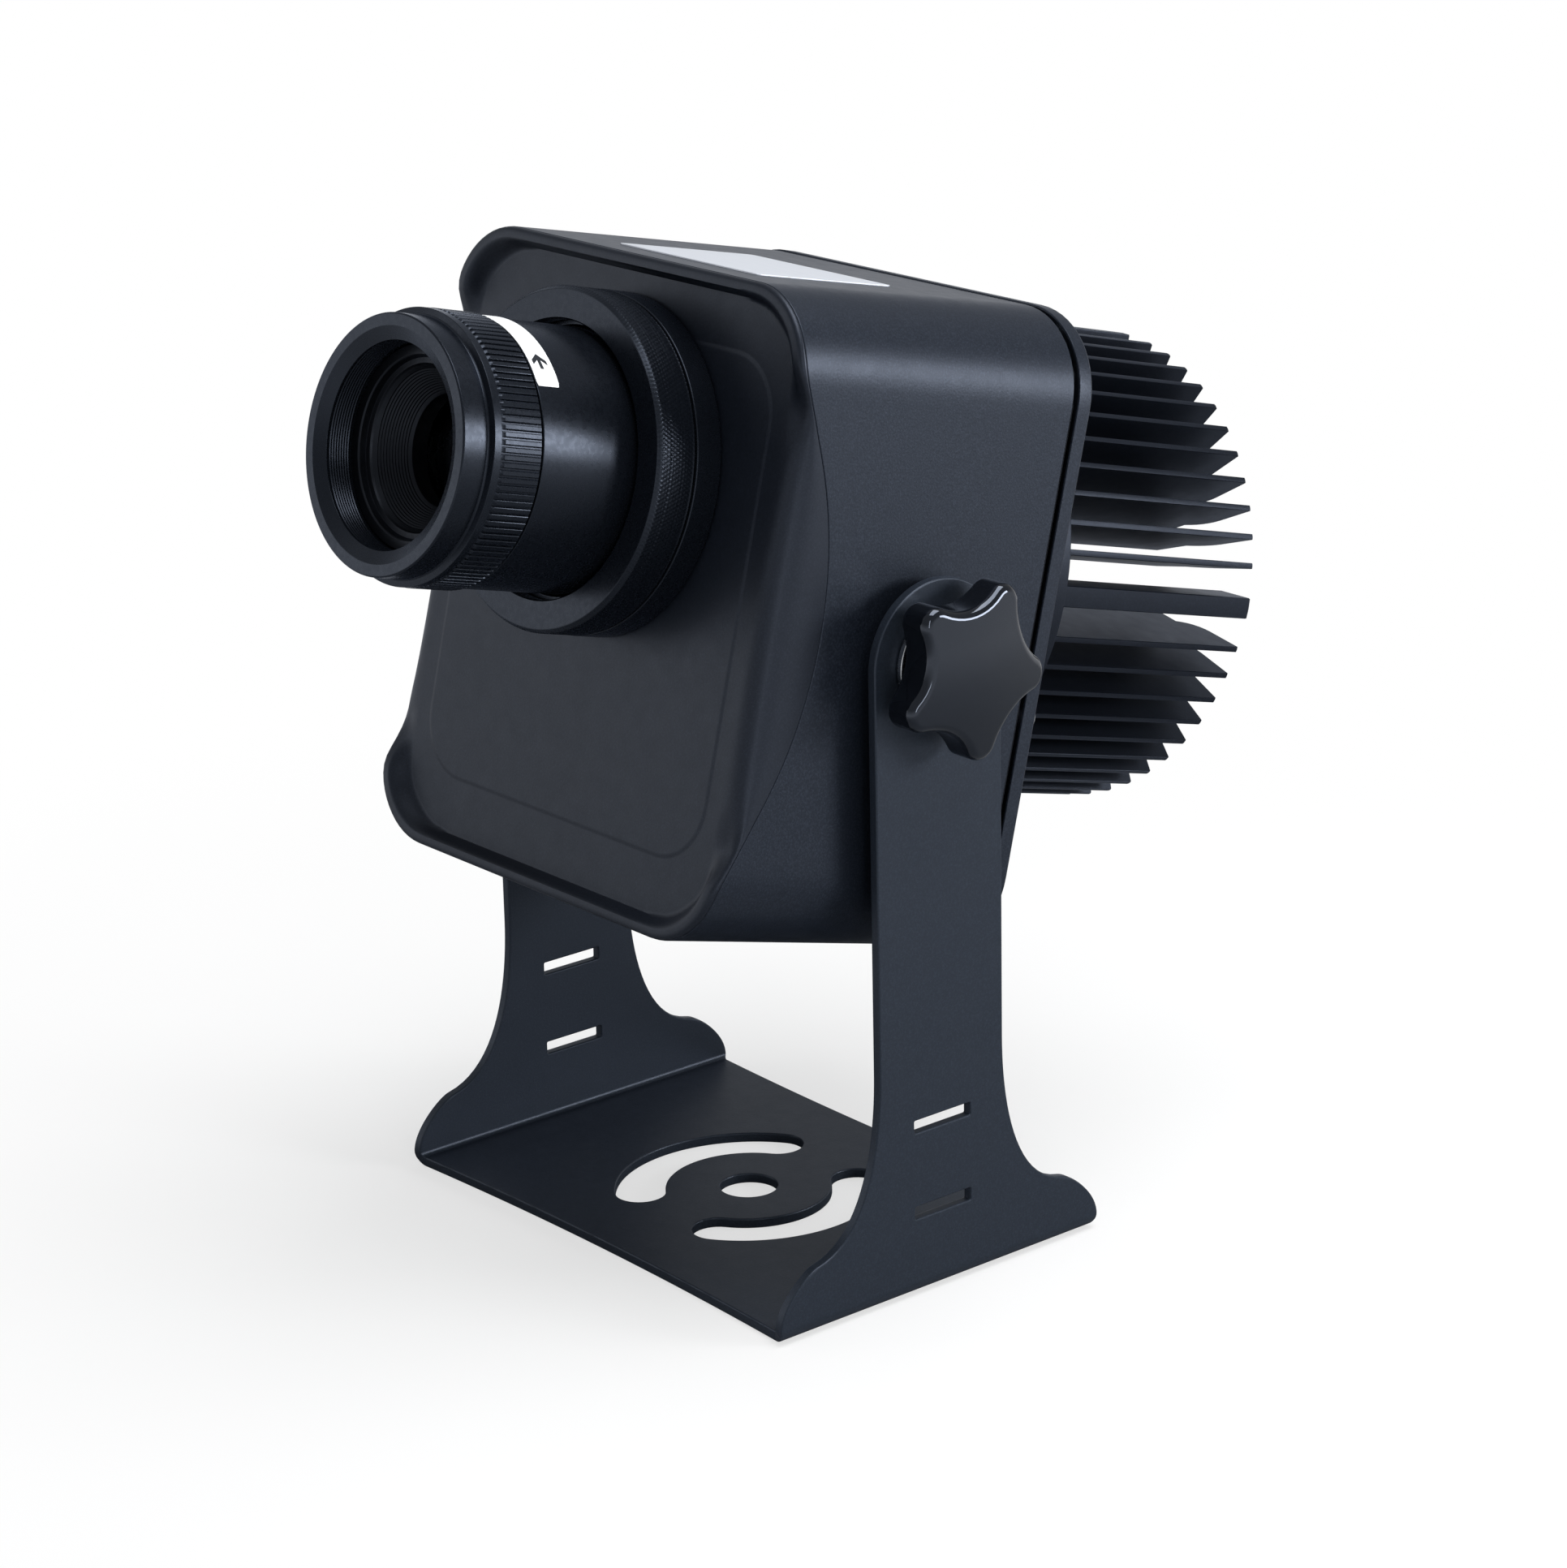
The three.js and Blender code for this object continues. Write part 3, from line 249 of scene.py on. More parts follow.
@dataclass(frozen=True)
class Finish:
    """A material named for what it is made of and how its surface was made."""

    name: str
    colour: str
    roughness: float
    metallic: float = 0.0
    ior: float = 1.5
    specular: float = 0.5
    reflection_lamp_tint: str = "#ffffff"

    def material(self) -> bpy.types.Material:
        """Returns the finish's material, building it on first use."""
        found = bpy.data.materials.get(self.name)
        if found:
            return found
        made = bpy.data.materials.new(self.name)
        made.use_nodes = True
        tree = made.node_tree
        tree.nodes.clear()
        values: Inputs = {
            "Base Color": linear(self.colour),
            "Roughness": self.roughness,
            "Metallic": self.metallic,
            "Specular IOR Level": self.specular,
            # Specular Tint carries painted lamp colour: white for none, cool where the lamps' tint is painted
            # into the reflections.
            "Specular Tint": linear(self.reflection_lamp_tint),
        }
        if self.metallic < 1.0:
            values["IOR"] = self.ior
        shader = add(tree, "ShaderNodeBsdfPrincipled", values)
        self.grain(Surface(tree, shader, add(tree, "ShaderNodeTexCoord").outputs["Object"]))
        add(tree, "ShaderNodeOutputMaterial", {"Surface": shader.outputs["BSDF"]})
        return made

    def grain(self, surface: Surface) -> None:
        """Adds the surface's own texture. The plain finish has a slightly cloudy gloss."""
        surface.gloss(surface.noise(6.0, 3.0), MOST_NOISE, (self.roughness * 0.9, self.roughness * 1.1))


@dataclass(frozen=True)
class PowderCoat(Finish):
    """Fused polyester powder on sheet or cast aluminium.

    It is an even satin skin whose fine pebble breaks highlights into grain, and whose pigment varies a little
    from grain to grain.
    """

    # Reflections take the painted cool lamp tint.
    reflection_lamp_tint: str = COOL_LAMP_TINT
    grain_tone: str = "#2a303b"
    grain_mm: float = 0.45
    pebble_mm: float = 0.5
    pebble_height: float = 0.03
    cloud_mm: float = 4.0
    cloud_swing: float = 0.02

    def grain(self, surface: Surface) -> None:
        """Adds the pigment's grain, a cloudy gloss and the pebbled height.

        Args:
            surface: the material in the making.
        """
        share = surface.spread(surface.noise(self.grain_mm, 2.0, 0.7), (0.45, 0.8))
        tint = add(surface.tree, "ShaderNodeMix", {
            "Factor": share, "A": linear(self.colour), "B": linear(self.grain_tone),
        }, data_type="RGBA")
        surface.tree.links.new(tint.outputs["Result"], surface.shader.inputs["Base Color"])
        swing = (self.roughness - self.cloud_swing, self.roughness + self.cloud_swing)
        surface.gloss(surface.noise(self.cloud_mm, 4.0), MOST_NOISE, swing)
        surface.bump(surface.noise(self.pebble_mm, 2.0), self.pebble_height)


@dataclass(frozen=True)
class TurnedAnodised(Finish):
    """Aluminium turned on a lathe and dyed black in an anodising bath.

    It is a deep even black with a soft metal gloss, and fine rings left by the tool; its reflections carry a
    painted cool lamp tint.
    """

    # Reflections take the painted cool lamp tint.
    reflection_lamp_tint: str = COOL_LAMP_TINT
    axis: Place = Place.LENS
    ring_mm: float = 0.35
    ring_height: float = 0.004
    cloud_mm: float = 1.2
    cloud_swing: float = 0.04

    def grain(self, surface: Surface) -> None:
        """Adds the tool's rings about the turning axis and a cloudy gloss.

        Args:
            surface: the material in the making.
        """
        tree, origin = surface.tree, self.axis.value.translation * MM
        moved = add(tree, "ShaderNodeVectorMath", {0: surface.place, 1: origin}, operation="SUBTRACT")
        level = add(tree, "ShaderNodeVectorRotate", {
            "Vector": moved.outputs["Vector"], "Angle": TILT,
        }, rotation_type="X_AXIS")
        split = add(tree, "ShaderNodeSeparateXYZ", {"Vector": level.outputs["Vector"]})
        flat = add(tree, "ShaderNodeCombineXYZ", {"X": split.outputs["X"], "Y": split.outputs["Z"]})
        radius = add(tree, "ShaderNodeVectorMath", {0: flat.outputs["Vector"]}, operation="LENGTH")
        across = add(tree, "ShaderNodeMath", {
            0: radius.outputs["Value"], 1: split.outputs["Y"],
        }, operation="ADD")
        line = add(tree, "ShaderNodeCombineXYZ", {"X": across.outputs["Value"]})
        surface.bump(surface.noise(self.ring_mm, 1.0, at=line.outputs["Vector"]), self.ring_height)
        swing = (self.roughness - self.cloud_swing, self.roughness + self.cloud_swing)
        surface.gloss(surface.noise(self.cloud_mm, 4.0), MOST_NOISE, swing)


@dataclass(frozen=True)
class MouldedPlastic(Finish):
    """Plastic moulded in a polished or sparked tool: gloss with a faint waviness, or a fine matt pebble."""

    # Reflections take the painted cool lamp tint.
    reflection_lamp_tint: str = COOL_LAMP_TINT
    wave_mm: float = 7.0
    wave_height: float = 0.02
    handled: float = 1.35

    def grain(self, surface: Surface) -> None:
        """Adds the waviness that bends reflections and a trace of handling in the gloss."""
        surface.bump(surface.noise(self.wave_mm, 1.0), self.wave_height)
        surface.gloss(surface.noise(1.5, 5.0), (0.35, 0.75), (self.roughness, self.roughness * self.handled))


@dataclass(frozen=True)
class BrushedMetal(Finish):
    """Bare or plated metal with a drawn grain: bright, with fine lines that stretch its highlights."""

    line_mm: float = 0.3
    stretch: float = 0.04
    line_height: float = 0.003

    def grain(self, surface: Surface) -> None:
        """Adds lines drawn along X.

        Args:
            surface: the material in the making.
        """
        drawn = add(surface.tree, "ShaderNodeMapping", {
            "Vector": surface.place, "Scale": (self.stretch, 1.0, 1.0),
        })
        lines = surface.noise(self.line_mm, 2.0, at=drawn.outputs["Vector"])
        surface.bump(lines, self.line_height)
        surface.gloss(lines, MOST_NOISE, (self.roughness * 0.85, self.roughness * 1.2))


@dataclass(frozen=True)
class CoatedGlass(Finish):
    """Polished optical glass with an anti-reflection coat: clear, with a weak cool reflection."""

    dust: float = 0.03

    def grain(self, surface: Surface) -> None:
        """Lets light through and gives the polish a trace of dust."""
        surface.shader.inputs["Transmission Weight"].default_value = 1.0
        surface.gloss(surface.noise(2.0, 6.0), (0.45, 0.8), (self.roughness, self.roughness + self.dust))


HOUSING_COAT = PowderCoat("satin_powder_coat_on_aluminium", "#161b24", 0.4, 0.3)
BEZEL_COAT = PowderCoat("smooth_powder_coat_on_aluminium", "#12161e", 0.42, 0.25, grain_tone="#1d222c",
                        pebble_mm=0.8, pebble_height=0.015)
SHEET_COAT = PowderCoat("powder_coat_on_sheet_steel", "#20262f", 0.42, 0.25, grain_tone="#2b323d",
                        pebble_mm=0.8, pebble_height=0.015)
LENS_BLACK = TurnedAnodised("black_anodised_turned_aluminium", "#161a21", 0.28, 0.55)
INNER_BLACK = TurnedAnodised("matt_black_anodised_thread", "#090b0f", 0.4, 0.5, ring_mm=0.25)
SINK_BLACK = PowderCoat("black_anodised_extruded_aluminium", "#11151d", 0.4, 0.55, grain_tone="#1a1f29",
                        pebble_mm=0.7, pebble_height=0.01)
KNOB_GLOSS = MouldedPlastic("polished_black_phenolic", "#07090d", 0.06, ior=1.6)
GLAND_NYLON = MouldedPlastic("moulded_black_nylon", "#131417", 0.45, wave_mm=0.6, wave_height=0.02)
RUBBER = MouldedPlastic("moulded_black_rubber", "#0e0f10", 0.7, wave_mm=0.5, wave_height=0.03)
LABEL_FILM = MouldedPlastic("white_printed_film", "#f4f6f8", 0.4, wave_mm=3.0, wave_height=0.01)
ARROW_INK = MouldedPlastic("black_printing_ink", "#15171a", 0.35, wave_mm=1.0, wave_height=0.004)
SILVER_FOIL = BrushedMetal("brushed_silver_foil", "#cdd2db", 0.42, 0.35)
PLATED_STEEL = BrushedMetal("bright_zinc_plated_steel", "#c9ccd1", 0.24, 1.0)
BARE_ALUMINIUM = BrushedMetal("milled_aluminium", "#aeb2b7", 0.35, 1.0)
TURNED_BRASS = BrushedMetal("turned_brass", "#b9954a", 0.3, 1.0)
LENS_GLASS = CoatedGlass("coated_optical_glass", "#dfe8ee", 0.02, ior=1.52, specular=0.35)
BOARD_MASK = MouldedPlastic("white_solder_mask", "#e4e5df", 0.4, wave_mm=1.0, wave_height=0.01)
PHOSPHOR = MouldedPlastic("phosphor_in_silicone", "#e4c24b", 0.5, wave_mm=0.6, wave_height=0.03)
TERMINAL_GREEN = MouldedPlastic("moulded_green_polyamide", "#2f6b44", 0.45, wave_mm=0.8, wave_height=0.02)


# Shapes


def arc_steps(count: int) -> list[float]:
    """Returns count + 1 shares from nought to one."""
    return [i / count for i in range(count + 1)]


def filleted(profile: Sequence[Pair], radius: float, steps: int = 3, closed: bool = True) -> list[Pair]:
    """Rounds the corners of a profile.

    Args:
        profile: corner points in order.
        radius: how far each corner is cut back along its sides.
        steps: facets in each rounded corner.
        closed: whether the last point joins the first. An open profile keeps its two ends.

    Returns:
        The rounded profile's points.
    """
    points = [Vector(p) for p in profile]
    count = len(points)
    result: list[Pair] = []
    for i, corner in enumerate(points):
        if not closed and i in (0, count - 1):
            result.append(tuple(corner))
            continue
        before, after = points[i - 1], points[(i + 1) % count]
        back, ahead = before - corner, after - corner
        cut = min(radius, back.length * 0.45, ahead.length * 0.45)
        if cut < 1e-4 or back.angle(ahead, 0.0) > math.radians(170):
            result.append(tuple(corner))
            continue
        start, end = corner + back.normalized() * cut, corner + ahead.normalized() * cut
        for t in arc_steps(steps):
            result.append(tuple(start * (1 - t) ** 2 + corner * 2 * t * (1 - t) + end * t * t))
    return result


def grid_mesh(rows: Sequence[Sequence[Vector]], rows_close: bool) -> Shape:
    """Skins rows of points with quads.

    Args:
        rows: closed rows with the same number of points, or one point for a pole.
        rows_close: whether the last row joins the first.

    Returns:
        The skin, its faces turned outwards where it is closed.
    """
    shape = bmesh.new()
    made = [[shape.verts.new(p) for p in row] for row in rows]
    pairs = list(zip(made, made[1:]))
    if rows_close:
        pairs.append((made[-1], made[0]))
    for low, high in pairs:
        count = max(len(low), len(high))
        for i in range(count):
            ring = [low[i % len(low)], low[(i + 1) % len(low)],
                    high[(i + 1) % len(high)], high[i % len(high)]]
            corners = list(dict.fromkeys(ring))
            if len(corners) > 2:
                shape.faces.new(corners)
    bmesh.ops.recalc_face_normals(shape, faces=shape.faces)
    return shape


def circle(x: float, y: float, radius: float, sides: int) -> list[Pair]:
    """Returns a circle's points, anticlockwise."""
    return [(x + radius * math.cos(i * TURN / sides), y + radius * math.sin(i * TURN / sides))
            for i in range(sides)]


def around(radius: float, angle: float, station: float) -> Vector:
    """Returns a point about the lens direction."""
    return Vector((radius * math.cos(angle), -station, radius * math.sin(angle)))


def hoop(radius: float, station: float, sides: int) -> list[Vector]:
    """Returns a circle of points about the lens direction."""
    return [around(radius, i * TURN / sides, station) for i in range(sides)]


def inward_ways(outline: Sequence[Vector]) -> list[Vector]:
    """Finds the way inwards at each point of an outline.

    Args:
        outline: its points, anticlockwise.

    Returns:
        One direction of length one for each point.
    """
    ways = []
    for i in range(len(outline)):
        ahead = outline[(i + 1) % len(outline)] - outline[i - 1]
        ways.append(Vector((-ahead.y, ahead.x)).normalized())
    return ways


def capped(shape: Shape) -> Shape:
    """Closes a skin's open ends and turns its faces outwards."""
    bmesh.ops.holes_fill(shape, edges=[e for e in shape.edges if e.is_boundary])
    bmesh.ops.recalc_face_normals(shape, faces=shape.faces)
    return shape


def turned(profile: Sequence[Pair], sides: int = 144, edge: float = 0.25, closed: bool = True) -> Shape:
    """Turns a profile about the lens direction.

    Args:
        profile: (radius, station) corners. An open one starts and ends on the axis.
        sides: facets round the axis.
        edge: fillet on each corner.
        closed: whether the profile closes on itself.

    Returns:
        The turned solid.
    """
    rows = []
    for radius, station in filleted(profile, edge, 3, closed):
        if radius < 1e-6:
            rows.append([Vector((0, -station, 0))])
            continue
        rows.append(hoop(radius, station, sides))
    return grid_mesh(rows, closed)


def smooth(value: float, low: float, high: float) -> float:
    """Returns a share that eases from nought at low to one at high."""
    share = min(1.0, max(0.0, (value - low) / (high - low)))
    return share * share * (3 - 2 * share)


def rounded_outline(half: float, top: float, bottom: float, radius: float, steps: int,
                    spread: int) -> list[Pair]:
    """Returns the outline of a rounded rectangle, with points spread along its sides.

    Args:
        half: half width.
        top: upper edge.
        bottom: lower edge.
        radius: corner radius.
        steps: facets in each corner.
        spread: parts along each straight side.

    Returns:
        (x, height) points, anticlockwise from the right-hand side of the top right corner.
    """
    centres = [(half - radius, top - radius), (radius - half, top - radius),
               (radius - half, bottom + radius), (half - radius, bottom + radius)]
    points: list[Pair] = []
    for quarter, (x, height) in enumerate(centres):
        for t in arc_steps(steps):
            angle = (quarter + t) * QUARTER
            points.append((x + radius * math.cos(angle), height + radius * math.sin(angle)))
        start = Vector(points[-1])
        following = centres[(quarter + 1) % 4]
        angle = (quarter + 1) * QUARTER
        end = Vector((following[0] + radius * math.cos(angle), following[1] + radius * math.sin(angle)))
        for k in range(1, spread):
            points.append(tuple(start.lerp(end, k / spread)))
    return points


def merged(*shapes: Shape) -> Shape:
    """Puts separate closed shapes into one mesh and frees the others."""
    whole = shapes[0]
    for extra in shapes[1:]:
        carrier = bpy.data.meshes.new("carrier")
        extra.to_mesh(carrier)
        extra.free()
        whole.from_mesh(carrier)
        bpy.data.meshes.remove(carrier)
    return whole


# Workshop


@dataclass
class Piece:
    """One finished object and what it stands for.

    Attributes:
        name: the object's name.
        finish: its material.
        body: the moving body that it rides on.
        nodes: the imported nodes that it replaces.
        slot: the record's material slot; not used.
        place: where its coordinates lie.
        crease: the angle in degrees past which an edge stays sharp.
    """

    name: str
    finish: Finish
    body: Body
    nodes: tuple[str, ...]
    slot: str
    place: Place = Place.HEAD
    crease: float = 38.0


class Workshop:
    """Turns shapes into finished objects and counts them."""

    def __init__(self) -> None:
        """Starts with nothing made."""
        self.made: list[bpy.types.Object] = []

    def settle(self, obj: bpy.types.Object) -> bpy.types.Mesh:
        """Applies an object's modifiers.

        Args:
            obj: the object, left with no modifiers.

        Returns:
            Its plain mesh.
        """
        bpy.context.view_layer.update()
        graph = bpy.context.evaluated_depsgraph_get()
        mesh = bpy.data.meshes.new_from_object(obj.evaluated_get(graph), preserve_all_data_layers=True,
                                               depsgraph=graph)
        obj.modifiers.clear()
        old = obj.data
        obj.data = mesh
        bpy.data.meshes.remove(old)
        return mesh

    def taken(self, obj: bpy.types.Object) -> Shape:
        """Settles an object and takes its shape, which removes the object.

        Args:
            obj: the object.

        Returns:
            The shape that it had with its modifiers.
        """
        shape = bmesh.new()
        shape.from_mesh(self.settle(obj))
        bpy.data.objects.remove(obj)
        return shape

    def rough(self, name: str, shape: Shape) -> bpy.types.Object:
        """Links an unfinished object that holds a shape.

        Args:
            name: the object's name.
            shape: its mesh, freed here.

        Returns:
            The object.
        """
        mesh = bpy.data.meshes.new(name)
        shape.to_mesh(mesh)
        shape.free()
        obj = bpy.data.objects.new(name, mesh)
        bpy.context.scene.collection.objects.link(obj)
        return obj

    def finish(self, piece: Piece, obj: bpy.types.Object) -> bpy.types.Object:
        """Smooths, places, dresses and registers an object.

        Args:
            piece: what the object is.
            obj: the object in its own coordinates, in millimetres.

        Returns:
            The finished object.
        """
        mesh = obj.data
        if not mesh.materials:
            mesh.materials.append(piece.finish.material())
        mesh.shade_smooth()
        mesh.set_sharp_from_angle(angle=math.radians(piece.crease))
        even = obj.modifiers.new("even", "WEIGHTED_NORMAL")
        even.keep_sharp = True
        mesh = self.settle(obj)
        mesh.name = piece.name
        mesh.transform(METRES @ piece.place.value)
        if piece.nodes:
            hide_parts(*piece.nodes)
        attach(obj, piece.body.value)
        self.made.append(obj)
        LOG.info("%s: %d faces on %s", piece.name, len(mesh.polygons), piece.body.value)
        return obj

    def make(self, piece: Piece, shape: Shape) -> bpy.types.Object:
        """Finishes a piece straight from its shape."""
        return self.finish(piece, self.rough(piece.name, shape))

    def dress(self, finish: Finish, *nodes: str) -> None:
        """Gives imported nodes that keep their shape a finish."""
        for name in nodes:
            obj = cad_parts[name]
            obj.data.materials.clear()
            obj.data.materials.append(finish.material())
            LOG.info("%s: kept, finished in %s", name, finish.name)


@dataclass
class RoundRepeat:
    """Geometry Nodes that repeat an object's mesh about the Y axis in equal groups.

    Attributes:
        count: how many copies in all.
        per_group: copies in each group.
        group_angle: angle from one group to the next.
        first_angle: angle of a group's first copy.
        pitch_angle: angle from one copy to the next.
    """

    count: int
    per_group: int
    group_angle: float
    first_angle: float
    pitch_angle: float

    def tree(self) -> Tree:
        """Returns the shared tree, building it on first use."""
        name = "repeat_about_axis"
        found = bpy.data.node_groups.get(name)
        if found:
            return found
        tree = repeat_tree(name, {"Count": "Int", "Per Group": "Int", "Group Angle": "Float",
                                  "First Angle": "Float", "Pitch Angle": "Float", "Material": "Material"})
        given = add(tree, "NodeGroupInput").outputs
        points = add(tree, "GeometryNodePoints", {"Count": given["Count"]})
        index = add(tree, "GeometryNodeInputIndex").outputs["Index"]
        ratio = add(tree, "ShaderNodeMath", {0: index, 1: given["Per Group"]}, operation="DIVIDE")
        group = add(tree, "ShaderNodeMath", {0: ratio.outputs[0]}, operation="FLOOR")
        within = add(tree, "ShaderNodeMath", {0: index, 1: given["Per Group"]}, operation="MODULO")
        base = add(tree, "ShaderNodeMath", {
            0: group.outputs[0], 1: given["Group Angle"], 2: given["First Angle"],
        }, operation="MULTIPLY_ADD")
        angle = add(tree, "ShaderNodeMath", {
            0: within.outputs[0], 1: given["Pitch Angle"], 2: base.outputs[0],
        }, operation="MULTIPLY_ADD")
        turn = add(tree, "ShaderNodeCombineXYZ", {"Y": angle.outputs[0]})
        copies = add(tree, "GeometryNodeInstanceOnPoints", {
            "Points": points.outputs[0], "Instance": given["Geometry"], "Rotation": turn.outputs["Vector"],
        })
        end_repeat(tree, copies, given["Material"])
        return tree

    def apply(self, obj: bpy.types.Object, finish: Finish) -> None:
        """Puts the repeat on an object as a live modifier.

        Args:
            obj: the object whose mesh is one copy.
            finish: the finish that every copy gets.
        """
        use_tree(obj, self.tree(), {
            "Count": self.count, "Per Group": self.per_group, "Group Angle": self.group_angle,
            "First Angle": self.first_angle, "Pitch Angle": self.pitch_angle, "Material": finish.material(),
        })


@dataclass
class SpotRepeat:
    """Geometry Nodes that put one object's mesh at every point of another.

    Attributes:
        spots: the points, in the piece's own coordinates.
        seed: the seed of each copy's turn.
    """

    spots: Sequence[Vector]
    seed: int = 7

    def tree(self) -> Tree:
        """Returns the shared tree, building it on first use."""
        name = "copy_to_spots"
        found = bpy.data.node_groups.get(name)
        if found:
            return found
        tree = repeat_tree(name, {"Template": "Object", "Turn": "Float", "Seed": "Int",
                                  "Material": "Material"})
        given = add(tree, "NodeGroupInput").outputs
        template = add(tree, "GeometryNodeObjectInfo", {"Object": given["Template"]})
        turn = add(tree, "FunctionNodeRandomValue", {
            "Min": 0.0, "Max": given["Turn"], "Seed": given["Seed"],
        }, data_type="FLOAT")
        angle = add(tree, "ShaderNodeCombineXYZ", {"Y": turn.outputs[1]})
        copies = add(tree, "GeometryNodeInstanceOnPoints", {
            "Points": given["Geometry"], "Instance": template.outputs["Geometry"],
            "Rotation": angle.outputs["Vector"],
        })
        end_repeat(tree, copies, given["Material"])
        return tree

    def host(self, name: str, template: bpy.types.Object, finish: Finish, shop: Workshop) -> bpy.types.Object:
        """Makes the object that carries the copies and settles it.

        Args:
            name: the new object's name.
            template: the object that is copied, removed afterwards.
            finish: the finish that every copy gets.
            shop: the workshop that links and settles objects.

        Returns:
            The object with a plain mesh of all the copies.
        """
        points = bmesh.new()
        for spot in self.spots:
            points.verts.new(spot)
        obj = shop.rough(name, points)
        use_tree(obj, self.tree(), {
            "Template": template, "Turn": TURN, "Seed": self.seed, "Material": finish.material(),
        })
        shop.settle(obj)
        bpy.data.objects.remove(template)
        return obj


# Bracket


@dataclass
class Bracket:
    """U-bracket bent from one sheet, with flared feet, leg slots and a drilled and slotted base."""

    width: float = 139.993
    depth: float = 95.0
    sheet: float = 2.5
    bend: float = 1.2
    leg: float = 37.0
    pivot: float = PIVOT_HEIGHT
    flare: float = 56.0
    waist: float = 2.0
    edge: float = 0.45
    edge_steps: int = 3
    slot_length: float = 16.8
    slot_height: float = 3.0
    slot_heights: tuple[float, float] = (20.3, 41.3)
    hole: float = 6.9
    arc_radius: float = 26.0
    arc_width: float = 12.0
    arc_half: float = math.radians(56.0)
    stud_hole: float = 4.5
    slot_round: float = 0.35
    bend_steps: int = 10
    shares: tuple[Pair, ...] = ((1, 0), (1.15, 0.115), (0.77, 0.275), (0.654, 0.286), (0.11, 0.339),
                                (0, 0.738), (0, 1))

    def flare_side(self) -> list[Pair]:
        """Returns one foot's outline from the base up to the leg, as (half depth, height)."""
        reach = (self.depth - self.leg) / 2
        nodes = [Vector((self.leg / 2 + out * reach, up * self.flare)) for out, up in self.shares]
        points: list[Pair] = []
        for k in (0, 3):
            a, b, c, d = nodes[k:k + 4]
            for t in arc_steps(20)[1:]:
                s = 1 - t
                points.append(tuple(a * s ** 3 + b * 3 * s * s * t + c * 3 * s * t * t + d * t ** 3))
        return points

    def bend_start(self) -> float:
        """Returns how far from the middle the flat base ends."""
        return self.width / 2 - self.sheet - self.bend

    def bend_length(self) -> float:
        """Returns the length of one bend along the middle of the sheet."""
        return QUARTER * (self.bend + self.sheet / 2)

    def along(self, height: float) -> float:
        """Returns how far along the flat pattern a height on the bend's outside or on a leg lies."""
        outer = self.sheet + self.bend
        if height < outer:
            return self.bend_start() + math.acos(1 - height / outer) / QUARTER * self.bend_length()
        return self.bend_start() + self.bend_length() + height - outer

    def outline(self) -> list[Pair]:
        """Returns the flat pattern's outer outline as (along, depth) points."""
        quarter: list[Pair] = []
        for share in arc_steps(24):
            quarter.append((share * self.bend_start(), self.depth / 2 - self.waist * (1 - share * share)))
        quarter += [(self.along(height), out) for out, height in self.flare_side()]
        quarter += [(self.along(self.pivot) + self.leg / 2 * math.sin(a), self.leg / 2 * math.cos(a))
                    for a in (t * QUARTER for t in arc_steps(28))]
        half = quarter + [(s, -y) for s, y in reversed(quarter[:-1])]
        return half + [(-s, -y) for s, y in half[1:-1]]

    def holes(self) -> list[list[Pair]]:
        """Returns the outlines of every hole in the flat pattern."""
        found = [circle(0.0, 0.0, self.hole, 64)]
        for side in (1, -1):
            middle = 0.0 if side > 0 else math.pi
            outer, inner = self.arc_radius + self.arc_width / 2, self.arc_radius - self.arc_width / 2
            ring: list[Pair] = []
            for radius, first, last in ((outer, -1, 1), (inner, 1, -1)):
                for t in arc_steps(40):
                    angle = middle + self.arc_half * (first + (last - first) * t)
                    ring.append((radius * math.cos(angle), radius * math.sin(angle)))
                end = middle + self.arc_half * last
                centre = Vector((self.arc_radius * math.cos(end), self.arc_radius * math.sin(end)))
                start = end if last > 0 else end + math.pi
                for t in arc_steps(18)[1:-1]:
                    angle = start + t * math.pi
                    away = Vector((math.cos(angle), math.sin(angle)))
                    ring.append(tuple(centre + away * self.arc_width / 2))
            found.append(ring)
            for height in self.slot_heights:
                s, h, w = self.along(height), self.slot_height / 2, self.slot_length / 2
                corners = [(s - h, -w), (s + h, -w), (s + h, w), (s - h, w)]
                found.append([(side * a, b) for a, b in filleted(corners, self.slot_round, 3)])
            found.append(circle(side * self.along(self.pivot), 0.0, self.stud_hole, 40))
        return found

    def rim(self, shape: Shape, ring: Sequence[Pair], hole: bool) -> tuple[list, list]:
        """Skins one cut edge of the sheet, both of its corners rounded.

        Args:
            shape: the mesh that gets the faces.
            ring: the cut's outline.
            hole: whether the sheet lies outside the outline.

        Returns:
            The rings of vertices that the lower and the upper face start from.
        """
        points = [Vector(p) for p in ring]
        count = len(points)
        area = sum(points[i - 1].cross(points[i]) for i in range(count))
        sign = 1 if (area > 0) != hole else -1
        inward = [way * sign for way in inward_ways(points)]
        corner = [(self.edge * (1 - math.cos(t * QUARTER)), self.edge * (1 - math.sin(t * QUARTER)))
                  for t in arc_steps(self.edge_steps)]
        levels = corner + [(self.sheet - z, inset) for z, inset in reversed(corner)]
        rows = []
        for z, inset in levels:
            rows.append([shape.verts.new((*(p + n * inset), z)) for p, n in zip(points, inward)])
        for low, high in zip(rows, rows[1:]):
            for i in range(count):
                shape.faces.new((low[i - 1], low[i], high[i], high[i - 1]))
        return rows[0], rows[-1]

